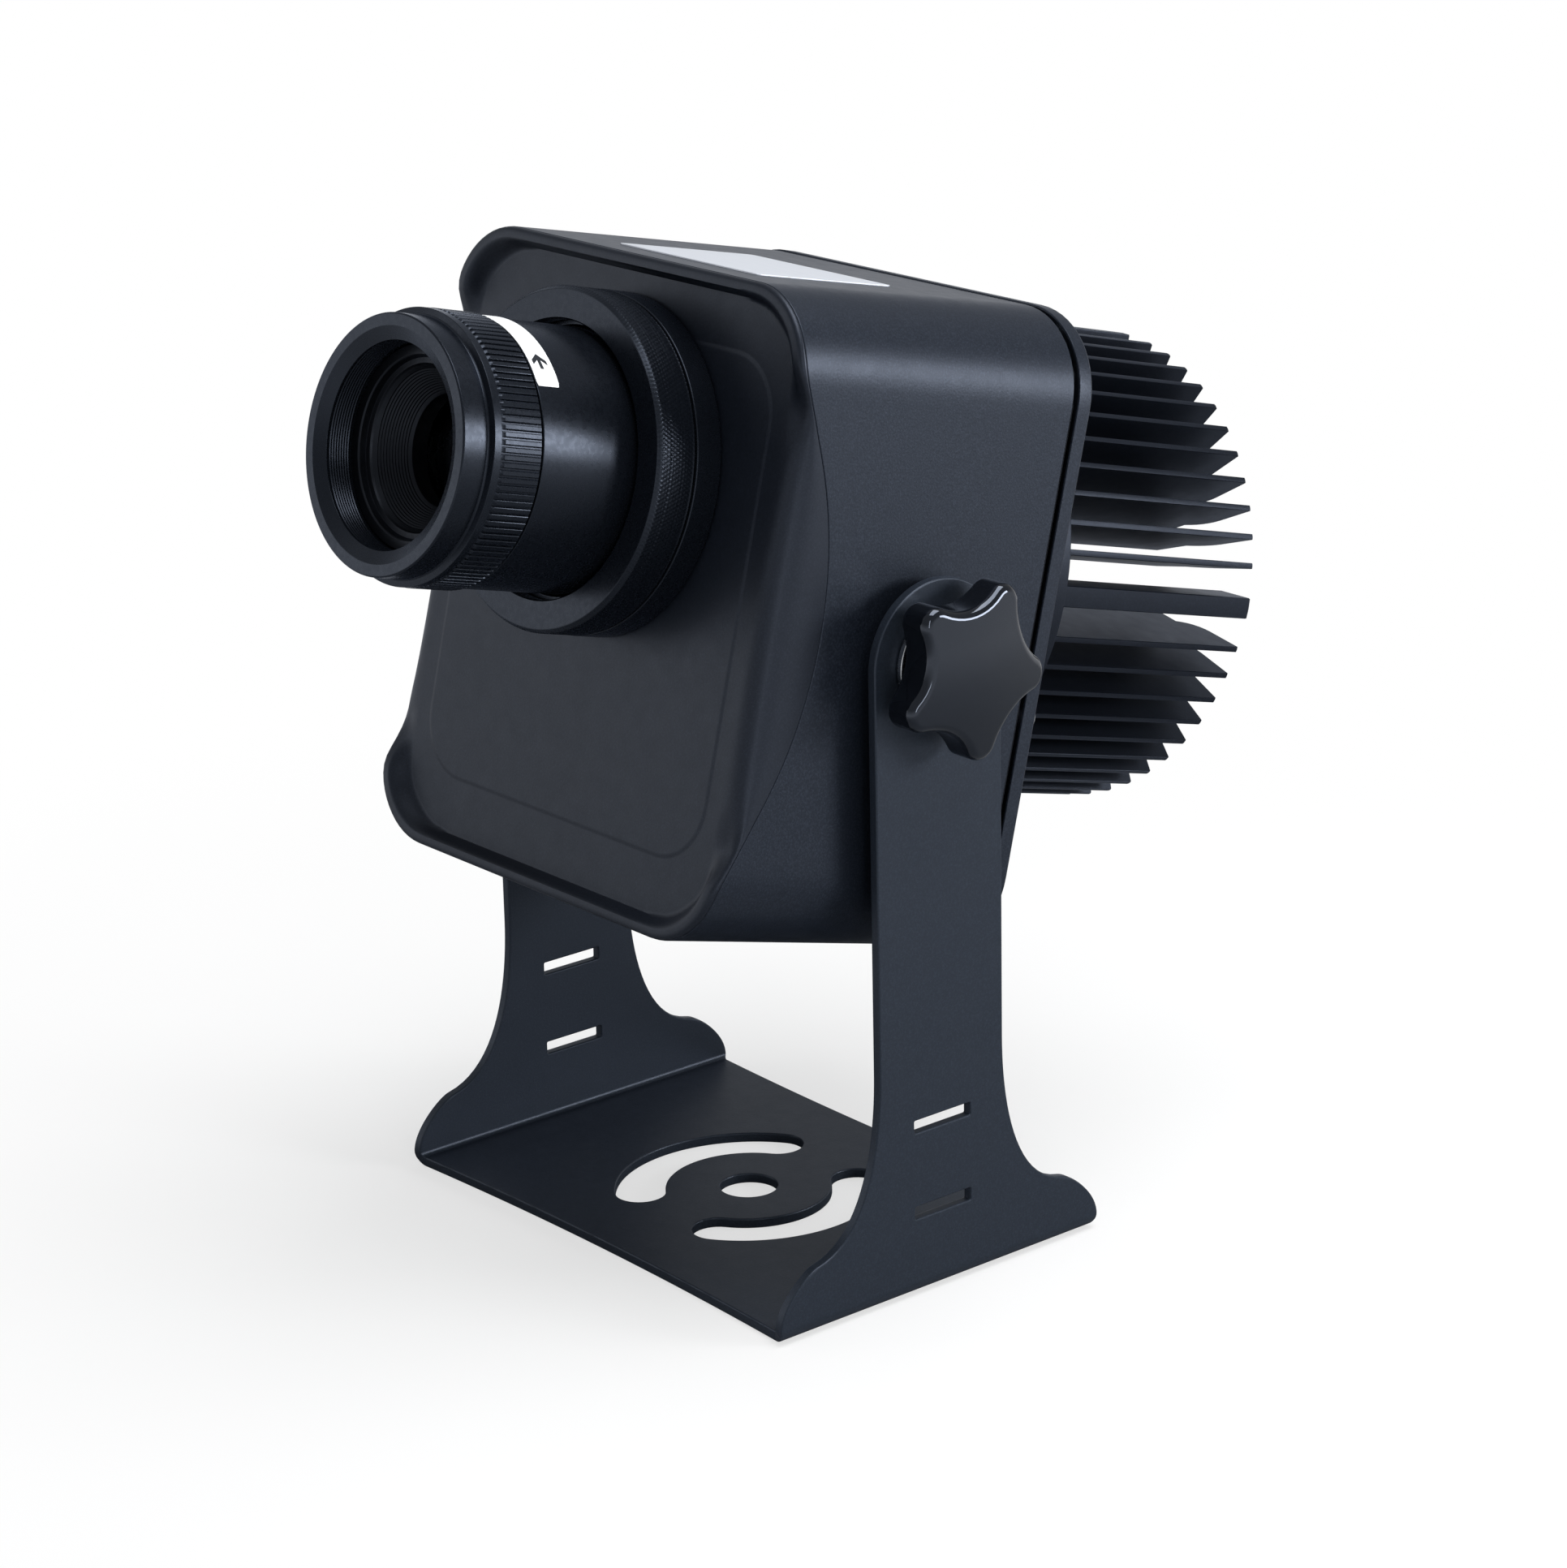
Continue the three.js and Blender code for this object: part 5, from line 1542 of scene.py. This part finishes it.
@dataclass
class HeatSink:
    """Round heat sink: a disc with radial fins in four groups and a thick pillar between groups."""

    radius: float = 57.0
    disc_radius: float = 59.5
    disc_front: float = -40.8
    disc_depth: float = 5.5
    length: float = 69.0
    inner: float = 31.0
    thickness: float = 1.4
    recess_radius: float = 47.0
    recess_depth: float = 6.0
    boss_width: float = 5.0
    per_group: int = 11
    boss_gap: float = math.radians(10.2)
    boss_reach: float = 10.0
    boss_sunk: float = 2.5
    pedestal_radius: float = 21.0
    pedestal_length: float = 18.0

    def plate(self, outline: Sequence[Pair], thickness: float, edge: float) -> Shape:
        """Returns a thin plate with rounded edges, lying in the plane of the axis at angle nought.

        Args:
            outline: (radius, station) corners, anticlockwise.
            thickness: how thick it is across.
            edge: radius of the rounding along the outline.

        Returns:
            The plate.
        """
        points = [Vector(p) for p in outline]
        rows = []
        for z, inset in ((-thickness / 2, edge), (-thickness / 2 + edge * 0.35, edge * 0.25), (0.0, 0.0),
                         (thickness / 2 - edge * 0.35, edge * 0.25), (thickness / 2, edge)):
            moved = [point + way * inset for point, way in zip(points, inward_ways(points))]
            rows.append([Vector((point.x, -point.y, z)) for point in moved])
        return capped(grid_mesh(rows, False))

    def fin_outline(self) -> list[Pair]:
        """Returns a fin's outline, with the hollow sweep down to its shorter inner part."""
        floor = self.disc_front - self.disc_depth / 2
        rear = self.disc_front - self.length
        step = rear + self.recess_depth
        sweep = [(self.recess_radius - self.recess_depth * math.sin(t * QUARTER),
                  step - self.recess_depth * math.cos(t * QUARTER)) for t in arc_steps(6)]
        return [(self.inner, floor), (self.inner, step), *reversed(sweep), (self.radius - 0.4, rear),
                (self.radius, rear + 0.4), (self.radius, floor)]

    def build(self, shop: Workshop) -> None:
        """Makes the disc, the fins and the pillars as one extrusion.

        Args:
            shop: the workshop that finishes the piece.
        """
        front = self.disc_front
        rear = front - self.length
        fins = shop.rough("fins", self.plate(self.fin_outline(), self.thickness, 0.3))
        pitch = (QUARTER - 2 * self.boss_gap) / (self.per_group - 1)
        RoundRepeat(4 * self.per_group, self.per_group, QUARTER, self.boss_gap, pitch).apply(fins, SINK_BLACK)
        inner, root = self.radius - self.boss_reach, front - self.boss_sunk
        pillar = [(inner, root), (inner, rear), (self.radius, rear), (self.radius, root)]
        bosses = shop.rough("pillars", self.plate(pillar, self.boss_width, 0.5))
        RoundRepeat(4, 1, QUARTER, 0.0, 0.0).apply(bosses, SINK_BLACK)
        ribs = [shop.taken(obj) for obj in (fins, bosses)]
        tip = front + self.pedestal_length
        wide, sunk = self.pedestal_radius, front - 1.0
        pedestal = turned([(0.0, sunk), (wide, sunk), (wide, tip), (0.0, tip)], 96, 0.4, False)
        bmesh.ops.translate(pedestal, verts=pedestal.verts, vec=(0, 0, LENS_LIFT - SINK_LIFT))
        back = front - self.disc_depth
        disc = turned([(0.0, back), (self.disc_radius, back), (self.disc_radius, front), (0.0, front)],
                      180, 0.6, False)
        shop.make(Piece("finned_sink", SINK_BLACK, Body.HEAD, ("heat_sink",), "anodised",
                        Place.COOLER, 30.0), merged(disc, pedestal, *ribs))


# Knobs


class Side(Enum):
    """The two ends of the tilt axis."""

    RIGHT = 1
    LEFT = -1


@dataclass
class ClampKnob:
    """Star knob with five lobes, its washer, bush and stud."""

    side: Side
    radius: float = 20.5
    tip: float = 4.2
    valley: float = 14.6
    lobes: int = 5
    turn: float = math.radians(73.0)
    hub_from: float = 72.095
    hub_length: float = 2.0
    hub_radius: float = 12.0
    depth: float = 10.5
    stud_hole: float = 4.3
    stud_depth: float = 6.0
    rear_edge: float = 1.6
    front_edge: float = 2.2
    dome: float = 2.2
    dome_rings: tuple[float, ...] = (0.92, 0.8, 0.65, 0.5, 0.35, 0.2, 0.1)
    washer: tuple[float, float, float, float, float] = (12.5, 4.5, 70.3, 71.8, 0.3)
    bush: tuple[float, float, float, float, float] = (12.0, 4.6, 63.0, 67.19, 0.5)

    def star(self) -> list[Pair]:
        """Returns the star's outline: round lobes joined by hollow flanks."""
        lobe = self.radius - self.tip
        half = math.pi / self.lobes
        pull = 2 * lobe * math.cos(half)
        flank = (self.tip ** 2 - self.valley ** 2 - lobe ** 2 + pull * self.valley) \
            / (2 * self.valley - pull - 2 * self.tip)
        reach = flank + self.valley
        sweep = math.atan2(reach * math.sin(half), reach * math.cos(half) - lobe)
        spread = sweep - half
        points: list[Pair] = []
        for i in range(self.lobes):
            middle = self.turn + 2 * half * i
            for t in arc_steps(14):
                angle = middle - sweep + 2 * sweep * t
                points.append((lobe * math.cos(middle) + self.tip * math.cos(angle),
                               lobe * math.sin(middle) + self.tip * math.sin(angle)))
            hollow = middle + half
            for t in arc_steps(10)[1:-1]:
                angle = hollow + math.pi + spread - 2 * spread * t
                points.append((reach * math.cos(hollow) + flank * math.cos(angle),
                               reach * math.sin(hollow) + flank * math.sin(angle)))
        return points

    def moulding(self) -> Shape:
        """Returns the knob: hub, rounded star and a shallow domed face."""
        outline = [Vector(p) for p in self.star()]
        inward = inward_ways(outline)
        start = self.hub_from + self.hub_length
        face = start + self.depth
        rear_edge, front_edge, hub = self.rear_edge, self.front_edge, self.hub_radius

        def ring(x: float, inset: float) -> list[Vector]:
            """Returns the star at a place along the axis."""
            return [Vector((x, *(p + n * inset))) for p, n in zip(outline, inward)]

        def round_ring(x: float, radius: float) -> list[Vector]:
            """Returns a circle whose points follow the star's."""
            return [Vector((x, p.x / p.length * radius, p.y / p.length * radius)) for p in outline]

        rows = [[Vector((self.hub_from + self.stud_depth, 0, 0))],
                round_ring(self.hub_from + self.stud_depth, self.stud_hole),
                round_ring(self.hub_from, self.stud_hole), round_ring(self.hub_from, hub - 0.4),
                round_ring(self.hub_from + 0.12, hub - 0.12), round_ring(self.hub_from + 0.4, hub),
                round_ring(start, hub)]
        for t in arc_steps(5):
            angle = t * QUARTER
            rows.append(ring(start + rear_edge * (1 - math.cos(angle)), rear_edge * (1 - math.sin(angle))))
        rim = ring(0.0, front_edge)
        low = [self.dome * (p.yz.length / self.radius) ** 2 for p in rim]
        for t in arc_steps(10):
            angle = t * QUARTER
            row = ring(face - front_edge * (1 - math.sin(angle)), front_edge * (1 - math.cos(angle)))
            rows.append([p - Vector((drop, 0, 0)) for p, drop in zip(row, low)])
        for share in self.dome_rings:
            rows.append([Vector((face - drop * share ** 2, p.y * share, p.z * share))
                         for p, drop in zip(rim, low)])
        rows.append([Vector((face, 0, 0))])
        return grid_mesh(rows, False)

    def sided(self, shape: Shape) -> Shape:
        """Turns a right-hand shape half round Z for the left."""
        if self.side is Side.LEFT:
            bmesh.ops.rotate(shape, verts=shape.verts, matrix=Matrix.Rotation(math.pi, 3, "Z"))
        return shape

    def collar(self, outer: float, inner: float, start: float, end: float, edge: float) -> Shape:
        """Returns a ring along X.

        Args:
            outer: its outer radius.
            inner: its bore's radius.
            start: its end towards the head.
            end: its end away from the head.
            edge: the rounding of its corners.

        Returns:
            The right-hand ring.
        """
        shape = turned([(inner, start), (outer, start), (outer, end), (inner, end)], 96, edge)
        bmesh.ops.rotate(shape, verts=shape.verts, matrix=Matrix.Rotation(QUARTER, 3, "Z"))
        return shape

    def build(self, shop: Workshop) -> None:
        """Makes this side's knob, washer and bush and dresses its stud.

        Args:
            shop: the workshop that finishes the pieces.
        """
        right = self.side is Side.RIGHT
        name = "right" if right else "left"
        knob_body = Body.RIGHT_KNOB if right else Body.LEFT_KNOB
        washer_body = Body.RIGHT_WASHER if right else Body.LEFT_WASHER
        shop.make(Piece(f"{name}_star_knob", KNOB_GLOSS, knob_body, (f"{name}_knob",), "gloss_plastic",
                        crease=50.0), self.sided(self.moulding()))
        shop.make(Piece(f"{name}_plain_washer", PLATED_STEEL, washer_body, (f"{name}_washer",), "steel"),
                  self.sided(self.collar(*self.washer)))
        shop.make(Piece(f"{name}_rubber_bush", RUBBER, Body.HEAD, (f"{name}_pivot_bush",), "rubber"),
                  self.sided(self.collar(*self.bush)))
        shop.dress(PLATED_STEEL, f"{name}_knob_stud")
        shop.dress(TURNED_BRASS, f"{name}_thread_insert")


# Labels and gland


@dataclass
class TopLabel:
    """Bare silver plate stuck on top of the head."""

    width: float = 49.0
    length: float = 40.0
    station: float = 13.6
    shift: float = 3.5
    thickness: float = 0.3
    corner: float = 1.5

    def build(self, shop: Workshop) -> None:
        """Makes the plate, laid on the shell's sloping top.

        Args:
            shop: the workshop that finishes the piece.
        """
        rise, run = 2 * Housing.draft, Housing.front - Housing.rear
        height = Housing.top + rise * (Housing.front - self.station) / run + 0.02
        rows = [[Vector((0, 0, 0))]]
        for lift, inset in ((0.0, 0.0), (self.thickness - 0.08, 0.0), (self.thickness - 0.02, 0.03),
                            (self.thickness, 0.1)):
            half, end = self.width / 2 - inset, self.length / 2 - inset
            outline = rounded_outline(half, end, -end, self.corner, 5, 2)
            rows.append([Vector((x, -y, lift)) for x, y in outline])
        rows.append([Vector((0, 0, self.thickness))])
        shape = grid_mesh(rows, False)
        bmesh.ops.rotate(shape, verts=shape.verts, matrix=Matrix.Rotation(math.atan2(rise, run), 3, "X"))
        bmesh.ops.translate(shape, verts=shape.verts, vec=(self.shift, -self.station, height))
        shop.make(Piece("top_plate_label", SILVER_FOIL, Body.HEAD, ("top_label",), "silver_foil",
                        crease=30.0), shape)


@dataclass
class CableGland:
    """Nylon gland in the rear cover: hexagon body, fluted cap nut and lock nut."""

    x: float = -30.0
    height: float = -54.0
    bearing: float = -40.8
    hex_radius: float = 11.0
    hex_length: float = 5.0
    cap_length: float = 12.0
    thread: float = 8.0
    bore: float = 4.5
    body_front: float = -33.7
    cap_radius: float = 9.65
    cap_bore: float = 8.3
    flutes: int = 16
    flute_depth: float = 0.45
    nut_radius: float = 10.5
    nut_ends: Pair = (-37.2, -34.0)

    def hexagon(self, radius: float, bore: float, rear: float, front: float) -> Shape:
        """Returns a hexagon nut whose corners are turned off at both ends.

        Args:
            radius: from the axis to a corner.
            bore: radius of the hole.
            rear: station of its rear face.
            front: station of its front face.

        Returns:
            The nut.
        """
        sides = 96
        flat = radius * math.cos(math.pi / 6)

        def ring(station: float, limit: float) -> list[Vector]:
            """Returns the hexagon at a station, no wider than a turned limit."""
            points = []
            for i in range(sides):
                angle = i * TURN / sides
                away = math.remainder(angle - math.pi / 6, math.pi / 3)
                reach = min(flat / math.cos(away), limit)
                points.append(around(reach, angle, station))
            return points

        low = flat * 1.02
        rows = [ring(rear, low), ring(rear + 0.5, radius), ring(front - 0.5, radius), ring(front, low)]
        for station in (front, rear):
            rows.append(hoop(bore, station, sides))
        return grid_mesh(rows, True)

    def cap(self) -> Shape:
        """Returns the cap nut, fluted where it is widest."""
        rear = self.bearing - self.hex_length
        end = rear - self.cap_length
        profile = [(self.bore, end), (self.thread - 1.0, end), (self.thread + 0.6, rear - 10.6),
                   (self.cap_radius, rear - 8.2), (self.cap_radius, rear - 0.3), (self.cap_bore, rear - 0.3),
                   (self.cap_bore, rear - 6.3), (self.bore, rear - 6.3)]
        shape = turned(profile, 96, 0.5)
        for vert in shape.verts:
            radius = math.hypot(vert.co.x, vert.co.z)
            if radius > self.cap_radius - self.flute_depth:
                angle = math.atan2(vert.co.z, vert.co.x)
                sink = self.flute_depth * max(0.0, math.cos(angle * self.flutes)) ** 2
                vert.co.x *= (radius - sink) / radius
                vert.co.z *= (radius - sink) / radius
        return shape

    def build(self, shop: Workshop) -> None:
        """Makes the gland's body, cap and lock nut.

        Args:
            shop: the workshop that finishes the pieces.
        """
        rear = self.bearing - self.hex_length
        sleeve = [(self.bore, rear - 6.0), (self.thread, rear - 6.0), (self.thread, self.body_front),
                  (self.bore, self.body_front)]
        body = merged(self.hexagon(self.hex_radius, self.thread - 0.3, rear, self.bearing),
                      turned(sleeve, 64, 0.3))
        nut = self.hexagon(self.nut_radius, self.thread + 0.3, *self.nut_ends)
        for name, shape, node in (("gland_hexagon", body, "gland_body"),
                                  ("gland_cap_nut", self.cap(), "gland_cap"),
                                  ("gland_inner_nut", nut, "gland_locknut")):
            bmesh.ops.translate(shape, verts=shape.verts, vec=(self.x, 0, self.height))
            shop.make(Piece(name, GLAND_NYLON, Body.HEAD, (node,), "nylon", crease=30.0), shape)


@dataclass
class Inside:
    """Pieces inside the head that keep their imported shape."""

    finishes: tuple[tuple[Finish, tuple[str, ...]], ...] = field(default_factory=lambda: (
        (PLATED_STEEL, (*(f"{where}_screw_{i}" for where in ("bezel", "sink") for i in range(1, 5)),
                        "gobo_clip")),
        (BOARD_MASK, ("led_board",)),
        (PHOSPHOR, ("led_module",)),
        (LENS_BLACK, ("condenser_tube", "condenser_spacer", "neck_nut", "rear_retainer", "focus_cell")),
        (LENS_GLASS, ("condenser_lens_rear", "condenser_lens_front", "gobo_disc", "rear_lens")),
        (BARE_ALUMINIUM, ("gobo_holder", "driver_plate", "driver_module")),
        (TERMINAL_GREEN, ("terminal_block",)),
    ))

    def build(self, shop: Workshop) -> None:
        """Dresses every inner piece."""
        for finish, nodes in self.finishes:
            shop.dress(finish, *nodes)


# Studio


@dataclass
class Softbox:
    """One soft rectangular lamp aimed at a point, in metres and watts."""

    name: str
    at: tuple[float, float, float]
    aim: tuple[float, float, float]
    size: tuple[float, float]
    power: float

    def build(self) -> None:
        """Hangs the lamp."""
        data = bpy.data.lights.new(self.name, "AREA")
        data.shape = "RECTANGLE"
        data.size, data.size_y = self.size
        data.energy = self.power
        lamp = bpy.data.objects.new(self.name, data)
        lamp.location = self.at
        lamp.rotation_euler = (Vector(self.aim) - Vector(self.at)).to_track_quat("-Z", "Y").to_euler()
        bpy.context.scene.collection.objects.link(lamp)


@dataclass
class Studio:
    """White seamless set, soft lamps and the camera at the photograph's place."""

    azimuth: float = math.radians(50.30)
    elevation: float = math.radians(18.34)
    roll: float = math.radians(-1.19)
    distance: float = 1.01955
    offset: Pair = (-0.01085, 0.02481)
    target: float = 0.130
    focal: float = 5441.98 / 1931 * 36
    ambient: float = 0.35
    horizon: Pair = (-0.05, 0.45)
    zenith: float = 0.1
    shadow_span: Pair = (0.05, 0.42)
    shadow_wash: float = 0.62
    mirror_span: Pair = (0.15, 0.95)
    paper: str = "#f4f5f6"
    # Painted shade: the floor's grey tone as reflections see it, darker than the paper is.
    paper_shaded_in_reflections: str = "#8d8f92"
    floor_drop: float = 0.0002
    lamps: tuple[Softbox, ...] = field(default_factory=lambda: (
        Softbox("overhead", (0.25, 0.15, 1.1), (0, 0, 0.15), (0.8, 0.6), 9.5),
        Softbox("rear_right", (1.05, 0.8, 0.4), (0, 0, 0.15), (0.5, 0.35), 9.0),
        Softbox("right_strip", (1.25, -0.55, 0.55), (0.05, 0, 0.15), (0.18, 0.7), 2.4),
        Softbox("front_left", (-0.9, -0.9, 0.5), (0, 0, 0.12), (0.4, 0.8), 1.2),
    ))

    def camera(self) -> None:
        """Sets the camera."""
        az, el = self.azimuth, self.elevation
        back = Vector((math.sin(az) * math.cos(el), -math.cos(az) * math.cos(el), math.sin(el)))
        right = Vector((math.cos(az), math.sin(az), 0))
        up = back.cross(right)
        across = right * math.cos(self.roll) + up * math.sin(self.roll)
        upright = up * math.cos(self.roll) - right * math.sin(self.roll)
        data = bpy.data.cameras.new("photo_view")
        data.sensor_fit = "HORIZONTAL"
        data.sensor_width = 36.0
        data.lens = self.focal
        data.clip_start, data.clip_end = 0.05, 50.0
        eye = bpy.data.objects.new("photo_view", data)
        across_by, up_by = self.offset
        place = Vector((0, ORIGIN_SHIFT * MM, self.target)) - across * across_by - upright * up_by \
            + back * self.distance
        turn = Matrix((across, upright, back)).transposed()
        eye.matrix_world = Matrix.Translation(place) @ turn.to_4x4()
        bpy.context.scene.collection.objects.link(eye)
        bpy.context.scene.camera = eye

    def world(self) -> None:
        """Sets a world that shows white and lights gently."""
        world = bpy.data.worlds.new("seamless")
        bpy.context.scene.world = world
        world.use_nodes = True
        tree = world.node_tree
        tree.nodes.clear()
        path = add(tree, "ShaderNodeLightPath").outputs
        seen = add(tree, "ShaderNodeMath", {0: path["Is Camera Ray"], 1: path["Is Transmission Ray"]},
                   operation="MAXIMUM").outputs[0]
        place = add(tree, "ShaderNodeTexCoord").outputs["Generated"]
        split = add(tree, "ShaderNodeSeparateXYZ", {"Vector": place}).outputs
        low = add(tree, "ShaderNodeMapRange", {
            "Value": split["Z"], "From Min": self.horizon[0], "From Max": self.horizon[1],
            "To Min": 1.0, "To Max": self.zenith,
        }).outputs["Result"]
        glossy = add(tree, "ShaderNodeMath", {
            0: path["Is Glossy Ray"], 1: low,
        }, operation="MULTIPLY").outputs[0]
        level = add(tree, "ShaderNodeMath", {0: seen, 1: glossy}, operation="MAXIMUM").outputs[0]
        strength = add(tree, "ShaderNodeMath", {0: level, 1: self.ambient}, operation="MAXIMUM").outputs[0]
        white = add(tree, "ShaderNodeBackground", {"Color": linear("#ffffff"), "Strength": strength})
        add(tree, "ShaderNodeOutputWorld", {"Surface": white.outputs["Background"]})

    def fade(self, tree: Tree, away: Socket, span: Pair, least: float) -> Socket:
        """Adds a share that eases up to one with the distance from the lamp.

        Args:
            tree: the floor material's tree.
            away: the distance.
            span: the distances in metres between which the share grows.
            least: the share at the nearer one.

        Returns:
            The share.
        """
        return add(tree, "ShaderNodeMapRange", {
            "Value": away, "From Min": span[0], "From Max": span[1], "To Min": least, "To Max": 1.0,
        }, interpolation_type="SMOOTHSTEP").outputs["Result"]

    def floor(self) -> None:
        """Lays a white floor that fades into the set away from the lamp."""
        shape = bmesh.new()
        bmesh.ops.create_grid(shape, x_segments=8, y_segments=8, size=3.0)
        mesh = bpy.data.meshes.new("floor")
        shape.to_mesh(mesh)
        shape.free()
        floor = bpy.data.objects.new("floor", mesh)
        floor.location.z = -self.floor_drop
        bpy.context.scene.collection.objects.link(floor)
        made = bpy.data.materials.new("white_paper_floor")
        made.use_nodes = True
        tree = made.node_tree
        tree.nodes.clear()
        place = add(tree, "ShaderNodeTexCoord").outputs["Object"]
        away = add(tree, "ShaderNodeVectorMath", {0: place}, operation="LENGTH").outputs["Value"]
        fade = self.fade(tree, away, self.shadow_span, self.shadow_wash)
        mirrored = self.fade(tree, away, self.mirror_span, 0.0)
        path = add(tree, "ShaderNodeLightPath").outputs
        clear = add(tree, "ShaderNodeMath", {0: path["Is Camera Ray"], 1: path["Is Transmission Ray"]},
                    operation="MAXIMUM").outputs[0]
        direct = add(tree, "ShaderNodeMath", {0: fade, 1: clear}, operation="MULTIPLY").outputs[0]
        glossy = add(tree, "ShaderNodeMath", {
            0: mirrored, 1: path["Is Glossy Ray"],
        }, operation="MULTIPLY").outputs[0]
        seen = add(tree, "ShaderNodeMath", {0: direct, 1: glossy}, operation="MAXIMUM").outputs[0]
        # Reflections see the floor in a painted grey shade near the object, and glowing white farther off.
        tone = add(tree, "ShaderNodeMix", {
            "Factor": path["Is Glossy Ray"], "A": linear(self.paper), "B": linear(self.paper_shaded_in_reflections),
        }, data_type="RGBA").outputs["Result"]
        matt = add(tree, "ShaderNodeBsdfDiffuse", {"Color": tone})
        glow = add(tree, "ShaderNodeEmission", {"Color": linear("#ffffff"), "Strength": 1.0})
        both = add(tree, "ShaderNodeMixShader", {
            0: seen, 1: matt.outputs["BSDF"], 2: glow.outputs["Emission"],
        })
        add(tree, "ShaderNodeOutputMaterial", {"Surface": both.outputs["Shader"]})
        mesh.materials.append(made)

    def build(self) -> None:
        """Sets up the camera, the set and the lamps."""
        bpy.context.scene.view_settings.view_transform = "Standard"
        self.camera()
        self.world()
        self.floor()
        for lamp in self.lamps:
            lamp.build()


def main() -> None:
    """Builds the studio and every sub-assembly in order."""
    logging.basicConfig(level=logging.INFO, format="%(name)s %(message)s")
    shop = Workshop()
    Studio().build()
    builders: Iterable[Callable[[Workshop], None]] = (
        Bracket().build, Housing().build, Lens().build, HeatSink().build, ClampKnob(Side.RIGHT).build,
        ClampKnob(Side.LEFT).build, TopLabel().build, CableGland().build, Inside().build,
    )
    for build in builders:
        build(shop)
    LOG.info("%d finished pieces", len(shop.made))


if __name__ == "__main__":
    main()
